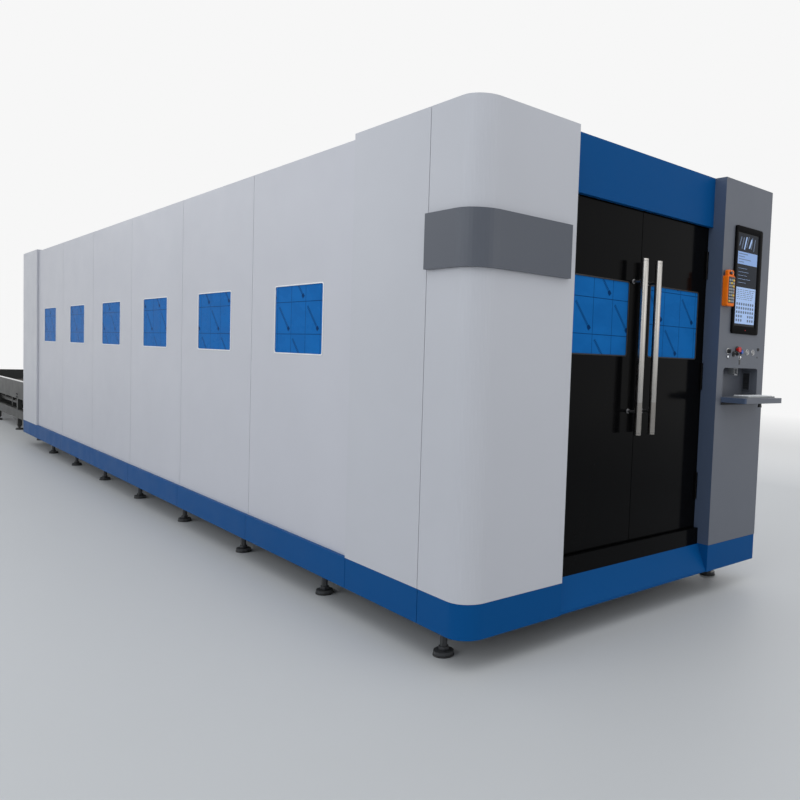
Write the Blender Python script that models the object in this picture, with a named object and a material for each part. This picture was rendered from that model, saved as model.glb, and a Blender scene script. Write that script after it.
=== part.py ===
"""Fiber laser cutting machine: a full enclosure with twin front doors, an operator console
in the front right corner, a gantry inside and a two-level pallet changer behind it.

Sizes are in metres. x runs from the left side to the right, y from the front to the rear
and z up from the floor, all from the front left corner of the enclosure. A root empty then
moves that corner so that the world's origin lies under the middle of the machine.
"""

import math

import bmesh
import bpy
from mathutils import Matrix, Vector

# Overall sizes of the enclosure
WIDTH = 2.25
LENGTH = 8.82
HEIGHT = 2.34
FLOOR_GAP = 0.14
SKIRT_HEIGHT = 0.152
SKIRT_INSET = 0.002
FRONT_DEPTH = 0.32

# Folded sheet and how closely pieces meet
SHEET = 0.003
EDGE_RETURN = 0.03
SEAM = 0.004
FIT = 0.0003

# Rounded corner block and the band round it
CORNER_WIDTH = 0.57
CORNER_RADIUS = 0.11
BAND_THICKNESS = 0.02
BAND_TOP = HEIGHT - 0.447
BAND_BOTTOM = BAND_TOP - 0.233
BAND_FRONT_END = 0.525
BAND_SIDE_END = 0.319

# Side panels: how far they stand back, their seams and their windows
PANEL_SETBACK = 0.02
FRONT_SECTION_END = 0.935
PANEL_PITCH = 1.185
PANEL_COUNT = 6
PANEL_TOP = HEIGHT - 0.018
SIDE_WINDOW_WIDTH = 0.55
SIDE_WINDOW_HEIGHT = 0.367
SIDE_WINDOW_BOTTOM = PANEL_TOP - 1.039
WINDOW_CORNER = 0.012
PANE_THICKNESS = 0.006
PANE_LAP = 0.02
REAR_CORNER_WIDTH = 0.25
RIGHT_PANEL_COUNT = 2
GROOVE_WIDTH = 0.004
GROOVE_DEPTH = 0.0015

# Enclosure frame of square tube, and the roof on it
TUBE = 0.04
ROOF_THICKNESS = 0.03
ROOF_DROP = 0.004

# Doorway between the corner block and the console
CONSOLE_WIDTH = 0.499
DOORWAY_SETBACK = 0.073
LEAF_SETBACK = 0.10
LEAF_THICKNESS = 0.04
LEAF_SKIN = 0.002
HEADER_HEIGHT = 0.27
KICK_TOP = 0.38
KICK_BOTTOM = 0.2883
LEAF_CLEARANCE = 0.004
JAMB_THICKNESS = 0.0077
JAMB_DEPTH = 0.06
FRAME_RAIL_HEIGHT = 0.06
SILL_HEIGHT = 0.04
APRON_TOP = 0.288
APRON_FRONT = 0.010
APRON_LIP = 0.013

# Door windows, handles and hinges
DOORWAY_WIDTH = WIDTH - CORNER_WIDTH - CONSOLE_WIDTH
DOOR_WINDOW_OFFSET = DOORWAY_WIDTH / 4 + 0.00675
DOOR_WINDOW_WIDTH = DOORWAY_WIDTH / 2 - 0.1605
DOOR_WINDOW_HEIGHT = 0.367
DOOR_WINDOW_BOTTOM = HEIGHT - HEADER_HEIGHT - 0.734
HANDLE_RADIUS = 0.018
HANDLE_STANDOFF = 0.07
HANDLE_OFFSET = 0.056
HANDLE_TOP = HEIGHT - HEADER_HEIGHT - 0.25
HANDLE_BOTTOM = HANDLE_TOP - 0.88
STANDOFF_RADIUS = 0.009
STANDOFF_HEIGHTS = (HANDLE_BOTTOM + 0.117, HANDLE_TOP - 0.11)
COLLAR_RADIUS = 0.016
COLLAR_LENGTH = 0.008
KNUCKLE_RADIUS = 0.006
KNUCKLE_LENGTH = 0.05
HINGE_TOP = HEIGHT - HEADER_HEIGHT - 0.21
HINGE_BOTTOM = KICK_TOP + 0.24
HINGE_MIDDLE = DOOR_WINDOW_BOTTOM - PANE_LAP - 0.076
HINGE_HEIGHTS = (HINGE_BOTTOM, HINGE_MIDDLE, HINGE_TOP)

# Operator console
MONITOR_LEFT = WIDTH - 0.390
MONITOR_RIGHT = WIDTH - 0.100
MONITOR_TOP = HEIGHT - 0.244
MONITOR_BOTTOM = MONITOR_TOP - 0.606
MONITOR_DEPTH = 0.028
MONITOR_CORNER = 0.018
SCREEN_LEFT = MONITOR_LEFT + 0.033
SCREEN_RIGHT = MONITOR_RIGHT - 0.040
SCREEN_BOTTOM = MONITOR_BOTTOM + 0.045
SCREEN_TOP = MONITOR_TOP - 0.036
SCREEN_RECESS = 0.006
SCREEN_THICKNESS = 0.004
NICHE_LEFT = WIDTH - 0.437
NICHE_RIGHT = WIDTH - 0.067
NICHE_TOP = MONITOR_BOTTOM - 0.196
NICHE_BOTTOM = NICHE_TOP - 0.194
NICHE_DEPTH = 0.17
NICHE_CORNER = 0.02
FLAP_LEFT = NICHE_LEFT - 0.013
FLAP_RIGHT = NICHE_RIGHT + 0.017
FLAP_TOP = NICHE_BOTTOM + 0.030
FLAP_THICKNESS = 0.03
FLAP_REACH = 0.16
FLAP_CORNER = 0.012
FLAP_GAP = 0.0008
KNOB_RADIUS = 0.012
KNOB_LENGTH = 0.022
KNOB_WAIST = 0.7
KNOB_INSET = 0.03
CONTROL_DROP = 0.102
CONTROL_HEIGHT = MONITOR_BOTTOM - CONTROL_DROP
SELECTOR_X = WIDTH - 0.401
KEY_X = WIDTH - 0.340
KEY_DROP = 0.014
STOP_X = WIDTH - 0.306
STOP_RISE = 0.012
BLUE_X = WIDTH - 0.261
STEEL_LEFT_X = WIDTH - 0.195
STEEL_RIGHT_X = WIDTH - 0.133
SWITCH_STEM = 0.009
STOP_STEM = 0.008
STEM_DEPTH = 0.03
STOP_RADIUS = 0.015
STOP_HEAD = 0.013
SWITCH_HEAD = 0.012
STOP_TRAVEL = 0.005
STOP_NECK = 0.8
STEEL_STAND = 0.003
PENDANT_LEFT = WIDTH - 0.492
PENDANT_WIDTH = 0.092
PENDANT_BOTTOM = MONITOR_BOTTOM + 0.146
PENDANT_BODY_HEIGHT = 0.155
PENDANT_THICKNESS = 0.03
PENDANT_CORNER = 0.012
LOOP_RADIUS = 0.03
LOOP_BAR = 0.009
LOOP_LEG = 0.014
LOOP_FRONT_SHARE = 0.7
LOOP_BACK_SHARE = 0.2
HOOK_RADIUS = 0.006
SWITCH_DIAL = 0.012
KEY_LENGTH = 0.034
KEY_BLADE = 0.0025
GRIP_SHARE = 0.9
GRIP_REACH = 0.0216
KEY_BOW_SIDES = 14
KEY_BOW = 0.010
BUTTON_STEM = 0.0105

# Bed, feet and rails
BED_TUBE = 0.08
BED_TUBE_INSET = 0.06
BED_FRONT = 0.12
CROSS_TUBE_HEIGHT = 0.10
BED_WALL_LEFT = 0.16
BED_WALL_WIDTH = 0.12
BED_WALL_START = 1.0
BED_WALL_END = 8.3
BED_TOP = 0.90
BED_TOP_TUBE = 0.14
BED_RIB_COUNT = 9
BED_RIB_WIDTH = 0.06
FOOT_COUNT = 8
FOOT_START = 0.25
FOOT_PITCH = 1.06
FOOT_RADIUS = 0.045
FOOT_PAD = 0.022
FOOT_STEM = 0.016
RAIL_WIDTH = 0.034
RAIL_NECK = 0.022
RAIL_HEIGHT = 0.034
RAIL_MARGIN = 0.02
RAIL_FOOT = 0.25
RAIL_SHOULDER = 0.45
RAIL_WAIST_TOP = 0.7

# Gantry, carriage and cutting head
GANTRY_FRONT = 1.20
GANTRY_DEPTH = 0.26
GANTRY_BOTTOM = 1.06
GANTRY_TOP = 1.31
GANTRY_OVERHANG = 0.05
SLIDER_WIDTH = 0.09
SLIDER_LENGTH = 0.20
SLIDER_LIFT = 0.008
CARRIAGE_X = 0.47
CARRIAGE_WIDTH = 0.26
CARRIAGE_DEPTH = 0.05
CARRIAGE_BOTTOM = 1.03
CARRIAGE_TOP = 1.40
BEAM_WALL = 0.01
BEAM_RAIL_HEIGHT = 0.024
BEAM_RAIL_DEPTH = 0.022
BEAM_RAIL_LOW = 1.10
BEAM_RAIL_HIGH = 1.24
HEAD_WIDTH = 0.11
HEAD_DEPTH = 0.09
HEAD_BOTTOM = 0.98
HEAD_TOP = 1.34
NOZZLE_TIP = 0.865
HEAD_BARREL_SHARE = 0.38
NOZZLE_SHARE = 0.3
NOZZLE_SIDES = 20
FIBRE_SHARE = 0.25

# Cutting pallets
LEDGE_TOP = 0.60
LEDGE_THICKNESS = 0.03
LEDGE_REACH = 0.05
LEVEL_STEP = 0.22
PALLET_LEFT = 0.335
PALLET_START = 1.5
PALLET_LENGTH = 6.3
PALLET_LIFT = 0.012
PALLET_HEIGHT = 0.09
PALLET_TUBE = 0.06
SLAT_PITCH = 0.28
SLAT_THICKNESS = 0.005
SLAT_BASE = 0.035
KEEL_HEIGHT = 0.03
SLAT_VALLEY = 0.085
SLAT_TIP = 0.125
TOOTH_COUNT = 7
WHEEL_RADIUS = 0.03
WHEEL_WIDTH = 0.024
WHEEL_COUNT = 5
PALLET_TRAVEL = 7.45

# Pallet changer behind the enclosure
TABLE_LEFT = 0.20
TABLE_END = 15.38
TABLE_BEAM = 0.06
TABLE_BEAM_BOTTOM = 0.447
TABLE_BEAM_TOP = 0.69
TABLE_LOW_BOTTOM = 0.17
TABLE_LOW_TOP = 0.29
LEG_1 = 9.05
LEG_2 = 10.46
LEG_3 = 12.10
LEG_4 = 13.70
LEG_5 = 15.26
LEG_PLACES = (LEG_1, LEG_2, LEG_3, LEG_4, LEG_5)
LEG_WIDTH = 0.08
LEG_BOTTOM = 0.06
LIFT_MARGIN = 0.11
LIFT_POST = 0.03
LIFT_1 = 9.20
LIFT_2 = 11.20
LIFT_3 = 13.20
LIFT_4 = 15.10
LIFT_PLACES = (LIFT_1, LIFT_2, LIFT_3, LIFT_4)
LIFT_POST_WIDTH = 0.05
LIFT_TIE_HEIGHT = 0.05
MOTOR_RADIUS = 0.07
MOTOR_LENGTH = 0.24
GEARBOX = 0.16
MOTOR_PLACE = 14.40

# Rear wall and its gate
REAR_OPENING_LEFT = 0.285
REAR_OPENING_BOTTOM = 0.33
REAR_OPENING_TOP = 0.80
REAR_DEPTH = 0.03
GATE_LAP = 0.02
GATE_THICKNESS = 0.02
GATE_TRAVEL = 0.50
GUIDE_LIP = 0.01

# Places that follow from the sizes above
SKIRT_TOP = FLOOR_GAP + SKIRT_HEIGHT
CONSOLE_X = WIDTH - CONSOLE_WIDTH
DOORWAY_MIDDLE = (CORNER_WIDTH + CONSOLE_X) / 2
HEADER_BOTTOM = HEIGHT - HEADER_HEIGHT
PANEL_INNER = PANEL_SETBACK + EDGE_RETURN
FRAME_X = PANEL_INNER + FIT
SEAM_PLACES = [FRONT_SECTION_END + i * PANEL_PITCH for i in range(PANEL_COUNT + 1)]
ROOF_TOP = HEIGHT - ROOF_DROP
FRAME_TOP = ROOF_TOP - ROOF_THICKNESS - FIT
LEAF_BOTTOM = KICK_TOP + LEAF_CLEARANCE
LEAF_TOP = HEADER_BOTTOM - 2 * LEAF_CLEARANCE
LEAF_LEFT = CORNER_WIDTH + FIT + JAMB_THICKNESS + LEAF_CLEARANCE
LEAF_RIGHT = DOORWAY_MIDDLE - LEAF_CLEARANCE / 2
HINGE_X = CORNER_WIDTH + FIT + JAMB_THICKNESS + LEAF_CLEARANCE / 2
HINGE_Y = LEAF_SETBACK - KNUCKLE_RADIUS - 2 * FIT
BED_WALL_RIGHT = BED_WALL_LEFT + BED_WALL_WIDTH
RAIL_X = BED_WALL_LEFT + BED_WALL_WIDTH / 2
TABLE_INNER = TABLE_LEFT + TABLE_BEAM
BAND_OUTER = -BAND_THICKNESS
HOOK_Z = PENDANT_BOTTOM + PENDANT_BODY_HEIGHT + LOOP_LEG + LOOP_RADIUS - LOOP_BAR - HOOK_RADIUS - FIT
STEMS = (
    (SELECTOR_X, CONTROL_HEIGHT, SWITCH_STEM),
    (KEY_X, CONTROL_HEIGHT - KEY_DROP, SWITCH_STEM),
    (STOP_X, CONTROL_HEIGHT + STOP_RISE, STOP_STEM),
    (BLUE_X, CONTROL_HEIGHT, BUTTON_STEM),
    (STEEL_LEFT_X, CONTROL_HEIGHT, BUTTON_STEM),
    (STEEL_RIGHT_X, CONTROL_HEIGHT, BUTTON_STEM),
)
CENTRE_X = (WIDTH + BAND_OUTER) / 2
END_FACE = TABLE_END - SHEET / 2
CENTRE_Y = (END_FACE - FLAP_GAP - FLAP_REACH) / 2

FOOT_SIDES = 12
BAR_SIDES = 12
KNUCKLE_SIDES = 8
FLAP_ARC_STEPS = 4
SMOOTH_ANGLE = 30
STEM_SIDES = 6
ARC_STEPS = 6
ROUND_SIDES = 16


def clear_scene():
    for obj in list(bpy.data.objects):
        bpy.data.objects.remove(obj, do_unlink=True)


def painted(name, colour, roughness, metallic=0.0):
    """A Principled material of one colour."""
    material = bpy.data.materials.new(name)
    material.use_nodes = True
    shader = material.node_tree.nodes["Principled BSDF"]
    shader.inputs["Base Color"].default_value = (*colour, 1.0)
    shader.inputs["Roughness"].default_value = roughness
    shader.inputs["Metallic"].default_value = metallic
    return material


def block(low, high):
    """A box between two corners."""
    low = Vector(low)
    high = Vector(high)
    bm = bmesh.new()
    bmesh.ops.create_cube(bm, size=1.0)
    scale = Matrix.Diagonal((*(high - low), 1.0))
    bm.transform(Matrix.Translation((low + high) / 2) @ scale)
    return bm


def place_along(axis, across, up, along):
    """The point of a section that is drawn out along an axis."""
    if axis == "x":
        return (along, across, up)
    if axis == "y":
        return (across, along, up)
    return (across, up, along)


def prism(outline, axis, start, end):
    """A closed outline drawn out along an axis. It is (y, z) along x, (x, z) along y, (x, y) along z."""
    bm = bmesh.new()
    corners = [bm.verts.new(place_along(axis, a, b, start)) for a, b in outline]
    face = bm.faces.new(corners)
    made = bmesh.ops.extrude_face_region(bm, geom=[face])
    moved = [item for item in made["geom"] if isinstance(item, bmesh.types.BMVert)]
    bmesh.ops.translate(bm, verts=moved, vec=place_along(axis, 0.0, 0.0, end - start))
    bmesh.ops.recalc_face_normals(bm, faces=bm.faces)
    return bm


def rod(start, end, radius, sides=ROUND_SIDES, end_radius=None):
    """A round bar between two points, or a cone when the end has a radius of its own."""
    start = Vector(start)
    end = Vector(end)
    along = end - start
    turn = along.to_track_quat("Z", "Y").to_matrix().to_4x4()
    bm = bmesh.new()
    bmesh.ops.create_cone(
        bm,
        cap_ends=True,
        segments=sides,
        radius1=radius,
        radius2=radius if end_radius is None else end_radius,
        depth=along.length,
        matrix=Matrix.Translation((start + end) / 2) @ turn,
    )
    return bm


def together(solids):
    """Several solids in one mesh, for a cutter or a row that is joined to a carrier."""
    whole = bmesh.new()
    for solid in solids:
        step = bpy.data.meshes.new("step")
        solid.to_mesh(step)
        solid.free()
        whole.from_mesh(step)
        bpy.data.meshes.remove(step)
    return whole


def arc(centre, radius, start, end, steps=ARC_STEPS):
    """Points along a round corner, with the angles in degrees."""
    angles = [math.radians(start + (end - start) * i / steps) for i in range(steps + 1)]
    return [(centre[0] + radius * math.cos(a), centre[1] + radius * math.sin(a)) for a in angles]


def rounded(low, high, radius, steps=4):
    """The outline of a rectangle with round corners."""
    (left, bottom), (right, top) = low, high
    outline = arc((right - radius, bottom + radius), radius, -90, 0, steps)
    outline += arc((right - radius, top - radius), radius, 0, 90, steps)
    outline += arc((left + radius, top - radius), radius, 90, 180, steps)
    outline += arc((left + radius, bottom + radius), radius, 180, 270, steps)
    return outline


def folded(path, thickness=SHEET):
    """The section of a sheet folded along a path, with its thickness on the path's left."""
    points = [Vector(point) for point in path]
    runs = [(b - a).normalized() for a, b in zip(points, points[1:])]
    inner = []
    for i, point in enumerate(points):
        before = runs[max(i - 1, 0)]
        after = runs[min(i, len(runs) - 1)]
        side = Vector((-before.y, before.x))
        mitre = side + Vector((-after.y, after.x))
        inner.append(point + mitre * (thickness / mitre.dot(side)))
    return [tuple(point) for point in points + inner[::-1]]


def mirrored(solid, middle=WIDTH / 2):
    """The same solid on the other side of the machine, or of another middle plane."""
    bm = solid.copy()
    bm.transform(Matrix.Translation((2 * middle, 0.0, 0.0)) @ Matrix.Diagonal((-1.0, 1.0, 1.0, 1.0)))
    bmesh.ops.reverse_faces(bm, faces=bm.faces)
    return bm


def both_sides(solids):
    return solids + [mirrored(solid) for solid in solids]


class Machine:
    """The root empty, and the pieces that hang from it by name."""

    def __init__(self):
        self.root = bpy.data.objects.new("machine", None)
        bpy.context.scene.collection.objects.link(self.root)
        self.root.location = (-CENTRE_X, -CENTRE_Y, 0.0)
        self.parts = {}
        self.origins = {}

    def helpers(self, name, solids):
        """A collection of hidden solids for a Boolean."""
        group = bpy.data.collections.new(name)
        bpy.context.scene.collection.children.link(group)
        for number, solid in enumerate(solids):
            mesh = bpy.data.meshes.new(f"{name}_{number}")
            solid.to_mesh(mesh)
            solid.free()
            helper = bpy.data.objects.new(f"{name}_{number}", mesh)
            helper.parent = self.root
            helper.hide_render = True
            helper.display_type = "WIRE"
            group.objects.link(helper)
        return group

    def add(
        self,
        name,
        solid,
        material,
        origin=(0.0, 0.0, 0.0),
        on=None,
        steps=(),
        smooth=None,
        bevel=None,
    ):
        """One piece, with its origin at a chosen point, and the solids joined to or cut from it."""
        solid.transform(Matrix.Translation(-Vector(origin)))
        mesh = bpy.data.meshes.new(name)
        solid.to_mesh(mesh)
        solid.free()
        if smooth is not None:
            mesh.shade_smooth()
            mesh.set_sharp_from_angle(angle=math.radians(smooth))
        mesh.materials.append(material)
        part = bpy.data.objects.new(name, mesh)
        bpy.context.scene.collection.objects.link(part)
        part.parent = self.parts[on] if on else self.root
        part.location = Vector(origin) - Vector(self.origins[on] if on else (0.0, 0.0, 0.0))
        if bevel is not None:
            edges = part.modifiers.new("edges", "BEVEL")
            edges.width = bevel
            edges.segments = 2
            edges.limit_method = "ANGLE"
            edges.angle_limit = math.radians(60)
        for number, (operation, solids) in enumerate(steps):
            boolean = part.modifiers.new(f"{operation.lower()}_{number}", "BOOLEAN")
            boolean.operation = operation
            boolean.solver = "EXACT"
            boolean.operand_type = "COLLECTION"
            boolean.collection = self.helpers(f"{name}_{operation.lower()}_{number}", solids)
        self.parts[name] = part
        self.origins[name] = origin
        return part


def materials():
    """The materials by name, with colour, roughness and metallic value."""
    return {
        "white": painted("white_paint", (0.74, 0.75, 0.77), 0.42),
        "blue": painted("blue_paint", (0.015, 0.13, 0.42), 0.38),
        "grey": painted("grey_paint", (0.20, 0.22, 0.25), 0.45),
        "dark": painted("dark_paint", (0.035, 0.037, 0.04), 0.5),
        "black": painted("black_paint", (0.008, 0.008, 0.009), 0.18),
        "film": painted("blue_film", (0.01, 0.16, 0.50), 0.25),
        "steel": painted("satin_steel", (0.62, 0.61, 0.59), 0.28, 1.0),
        "raw": painted("raw_steel", (0.30, 0.29, 0.28), 0.5, 0.9),
        "aluminium": painted("aluminium", (0.66, 0.67, 0.68), 0.35, 1.0),
        "plastic": painted("black_plastic", (0.012, 0.012, 0.013), 0.4),
        "screen": painted("screen_glass", (0.03, 0.04, 0.05), 0.08),
        "orange": painted("orange_plastic", (0.85, 0.20, 0.02), 0.4),
        "red": painted("red_plastic", (0.60, 0.01, 0.01), 0.35),
        "button_blue": painted("blue_plastic", (0.02, 0.10, 0.50), 0.35),
    }


def sheet_tray(low, high, facing):
    """A folded panel: a box outline, and the pocket that leaves its face and its four returns.

    facing is the axis and sense of the face, such as ("x", -1) for a face on the left.
    """
    axis = "xyz".index(facing[0])
    pocket_low = [value + SHEET for value in low]
    pocket_high = [value - SHEET for value in high]
    if facing[1] < 0:
        pocket_high[axis] = high[axis] + SHEET
    else:
        pocket_low[axis] = low[axis] - SHEET
    return block(low, high), block(pocket_low, pocket_high)


def build_bed(machine, paint):
    """The welded bed with its feet, and the two linear rails on it."""
    inner = BED_TUBE_INSET + BED_TUBE
    right_inner = WIDTH - inner
    rear = LENGTH - BED_TUBE_INSET
    top = SKIRT_TOP - FIT
    side = block((BED_TUBE_INSET, BED_FRONT, FLOOR_GAP), (inner, rear, top))
    joined = [mirrored(side)]
    for low, high in ((BED_FRONT, BED_FRONT + BED_TUBE), (rear - BED_TUBE, rear)):
        joined.append(block((inner - SHEET, low, FLOOR_GAP + SHEET), (right_inner + SHEET, high, top)))
    cross_top = FLOOR_GAP + CROSS_TUBE_HEIGHT
    for place in SEAM_PLACES[:-1]:
        low = (inner - SHEET, place - BED_TUBE / 2, FLOOR_GAP + SHEET)
        high = (right_inner + SHEET, place + BED_TUBE / 2, cross_top)
        joined.append(block(low, high))
    walls = []
    tube_bottom = BED_TOP - BED_TOP_TUBE
    walls.append(
        block((BED_WALL_LEFT, BED_WALL_START, tube_bottom), (BED_WALL_RIGHT, BED_WALL_END, BED_TOP))
    )
    walls.append(
        block(
            (inner - SHEET, BED_WALL_START, FLOOR_GAP + SHEET),
            (BED_WALL_RIGHT, BED_WALL_END, cross_top + SHEET),
        )
    )
    span = BED_WALL_END - BED_WALL_START - BED_RIB_WIDTH
    for number in range(BED_RIB_COUNT):
        place = BED_WALL_START + span * number / (BED_RIB_COUNT - 1) + SHEET
        low = (BED_WALL_LEFT + SHEET, place, cross_top)
        high = (BED_WALL_RIGHT - SHEET, place + BED_RIB_WIDTH - 2 * SHEET, tube_bottom + SHEET)
        walls.append(block(low, high))
    ledge_low = (BED_WALL_RIGHT - 2 * SHEET, BED_WALL_START + SHEET, LEDGE_TOP - LEDGE_THICKNESS)
    ledge_high = (BED_WALL_RIGHT + LEDGE_REACH, BED_WALL_END - SHEET, LEDGE_TOP)
    walls.append(block(ledge_low, ledge_high))
    feet = []
    for number in range(FOOT_COUNT):
        centre = (BED_TUBE_INSET + BED_TUBE / 2, FOOT_START + number * FOOT_PITCH)
        feet.append(rod((*centre, 0.0), (*centre, FOOT_PAD), FOOT_RADIUS, FOOT_SIDES))
        feet.append(rod((*centre, FOOT_PAD / 2), (*centre, FLOOR_GAP + SHEET), FOOT_STEM, STEM_SIDES))
    joined += both_sides(walls) + both_sides(feet)
    machine.add("bed_frame", side, paint["dark"], steps=[("UNION", joined)])

    half = RAIL_WIDTH / 2
    neck = RAIL_NECK / 2
    bottom = BED_TOP + FIT
    shoulder = bottom + RAIL_HEIGHT * RAIL_SHOULDER
    upper = bottom + RAIL_HEIGHT * RAIL_WAIST_TOP
    top = bottom + RAIL_HEIGHT
    section = [(-half, bottom), (half, bottom), (half, bottom + RAIL_HEIGHT * RAIL_FOOT), (neck, shoulder)]
    section += [(neck, upper - SHEET), (half, upper), (half, top), (-half, top), (-half, upper)]
    section += [(-neck, upper - SHEET), (-neck, shoulder), (-half, bottom + RAIL_HEIGHT * RAIL_FOOT)]
    for name, middle in (("rail_left", RAIL_X), ("rail_right", WIDTH - RAIL_X)):
        outline = [(middle + a, b) for a, b in section]
        rail = prism(outline, "y", BED_WALL_START + RAIL_MARGIN, BED_WALL_END - RAIL_MARGIN)
        machine.add(name, rail, paint["steel"])


def corner_path(inset, side_end, front_end):
    """The plan of a sheet round the front left corner, from its end on the side to its end in front."""
    round_corner = arc((CORNER_RADIUS, CORNER_RADIUS), CORNER_RADIUS - inset, 180, 270, 2 * ARC_STEPS)
    return [(inset, side_end)] + round_corner + [(front_end, inset)]


def build_corner(machine, paint):
    """The rounded white block, the band round it and the skirt below it."""
    back = FRONT_DEPTH - FIT
    path = [(EDGE_RETURN, back)] + corner_path(0.0, back, CORNER_WIDTH) + [(CORNER_WIDTH, back)]
    shell = prism(folded(path), "z", SKIRT_TOP, HEIGHT - SHEET / 2)
    cap = corner_path(0.0, back, CORNER_WIDTH) + [(CORNER_WIDTH, back)]
    lid = prism(cap, "z", HEIGHT - SHEET, HEIGHT)
    machine.add("corner_block", shell, paint["white"], steps=[("UNION", [lid])], smooth=SMOOTH_ANGLE)

    outside = -BAND_THICKNESS
    path = corner_path(outside, BAND_SIDE_END, BAND_FRONT_END)
    band = prism(folded(path, BAND_THICKNESS - FIT), "z", BAND_BOTTOM, BAND_TOP)
    machine.add("corner_band", band, paint["grey"], smooth=SMOOTH_ANGLE)

    front_end = CORNER_WIDTH - FIT
    path = corner_path(SKIRT_INSET, back, front_end) + [(front_end, BED_FRONT - FIT)]
    skirt = prism(folded(path), "z", FLOOR_GAP, SKIRT_TOP - FIT)
    machine.add("skirt_corner", skirt, paint["blue"], smooth=SMOOTH_ANGLE)


def side_skirt(start, end):
    """The folded skirt along one side, and the grooves at its seams."""
    top = SKIRT_TOP - FIT
    path = [(BED_TUBE_INSET - FIT, top), (SKIRT_INSET, top), (SKIRT_INSET, FLOOR_GAP)]
    path.append((EDGE_RETURN, FLOOR_GAP))
    skirt = prism(folded(path), "y", start, end)
    grooves = []
    for place in SEAM_PLACES:
        low = (SKIRT_INSET - SHEET, place - GROOVE_WIDTH / 2, FLOOR_GAP - SHEET)
        high = (SKIRT_INSET + GROOVE_DEPTH, place + GROOVE_WIDTH / 2, SKIRT_TOP + SHEET)
        grooves.append(block(low, high))
    return skirt, grooves


def build_left_side(machine, paint):
    """The front section, the six windowed panels, the rear corner and the skirt below them."""
    low = (0.0, FRONT_DEPTH + SEAM - FIT, SKIRT_TOP)
    high = (PANEL_INNER, FRONT_SECTION_END, HEIGHT)
    tray, pocket = sheet_tray(low, high, ("x", -1))
    machine.add("front_section_left", tray, paint["white"], steps=[("DIFFERENCE", [pocket])])

    for number in range(PANEL_COUNT):
        start = SEAM_PLACES[number] + SEAM / 2
        end = SEAM_PLACES[number + 1] - SEAM / 2
        low = (PANEL_SETBACK, start, SKIRT_TOP)
        tray, pocket = sheet_tray(low, (PANEL_INNER, end, PANEL_TOP), ("x", -1))
        middle = (start + end) / 2
        left = middle - SIDE_WINDOW_WIDTH / 2
        window_low = (left, SIDE_WINDOW_BOTTOM)
        window_high = (left + SIDE_WINDOW_WIDTH, SIDE_WINDOW_BOTTOM + SIDE_WINDOW_HEIGHT)
        outline = rounded(window_low, window_high, WINDOW_CORNER)
        hole = prism(outline, "x", PANEL_SETBACK - SHEET, PANEL_SETBACK + 2 * SHEET)
        name = f"side_panel_left_{number + 1}"
        machine.add(name, tray, paint["white"], steps=[("DIFFERENCE", [pocket, hole])])

        face = PANEL_SETBACK + SHEET + FIT
        pane_low = (face, window_low[0] - PANE_LAP, window_low[1] - PANE_LAP)
        pane_high = (face + PANE_THICKNESS, window_high[0] + PANE_LAP, window_high[1] + PANE_LAP)
        machine.add(f"side_window_{number + 1}", block(pane_low, pane_high), paint["film"])

    path = [(PANEL_INNER, SEAM_PLACES[-1] + SEAM / 2), (0.0, SEAM_PLACES[-1] + SEAM / 2), (0.0, LENGTH)]
    path += [(REAR_CORNER_WIDTH, LENGTH), (REAR_CORNER_WIDTH, LENGTH - EDGE_RETURN)]
    corner = prism(folded(path[::-1]), "z", SKIRT_TOP, HEIGHT)
    machine.add("rear_corner_left", corner, paint["white"])

    skirt, grooves = side_skirt(FRONT_DEPTH + SEAM - FIT, LENGTH - FIT)
    machine.add("skirt_left", skirt, paint["blue"], steps=[("DIFFERENCE", grooves)])


def build_right_side(machine, paint):
    """The long plain panels of the right side, with a groove at each seam, and their skirt."""
    start = FRONT_DEPTH + SEAM - FIT
    length = (LENGTH - REAR_DEPTH - start) / RIGHT_PANEL_COUNT
    face = WIDTH - PANEL_SETBACK
    for number in range(RIGHT_PANEL_COUNT):
        low_y = start + number * length
        high_y = low_y + length - SEAM
        low = (WIDTH - PANEL_INNER, low_y, SKIRT_TOP)
        tray, pocket = sheet_tray(low, (face, high_y, PANEL_TOP), ("x", 1))
        grooves = [pocket]
        for place in SEAM_PLACES:
            if low_y + TUBE < place < high_y - TUBE:
                groove_low = (face - GROOVE_DEPTH, place - GROOVE_WIDTH / 2, SKIRT_TOP - SHEET)
                groove_high = (face + SHEET, place + GROOVE_WIDTH / 2, PANEL_TOP + SHEET)
                grooves.append(block(groove_low, groove_high))
        name = f"side_panel_right_{number + 1}"
        machine.add(name, tray, paint["white"], steps=[("DIFFERENCE", grooves)])

    skirt, grooves = side_skirt(FRONT_DEPTH + SEAM - FIT, LENGTH - FIT)
    skirt = mirrored(skirt)
    grooves = [mirrored(groove) for groove in grooves]
    machine.add("skirt_right", skirt, paint["blue"], steps=[("DIFFERENCE", grooves)])


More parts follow.
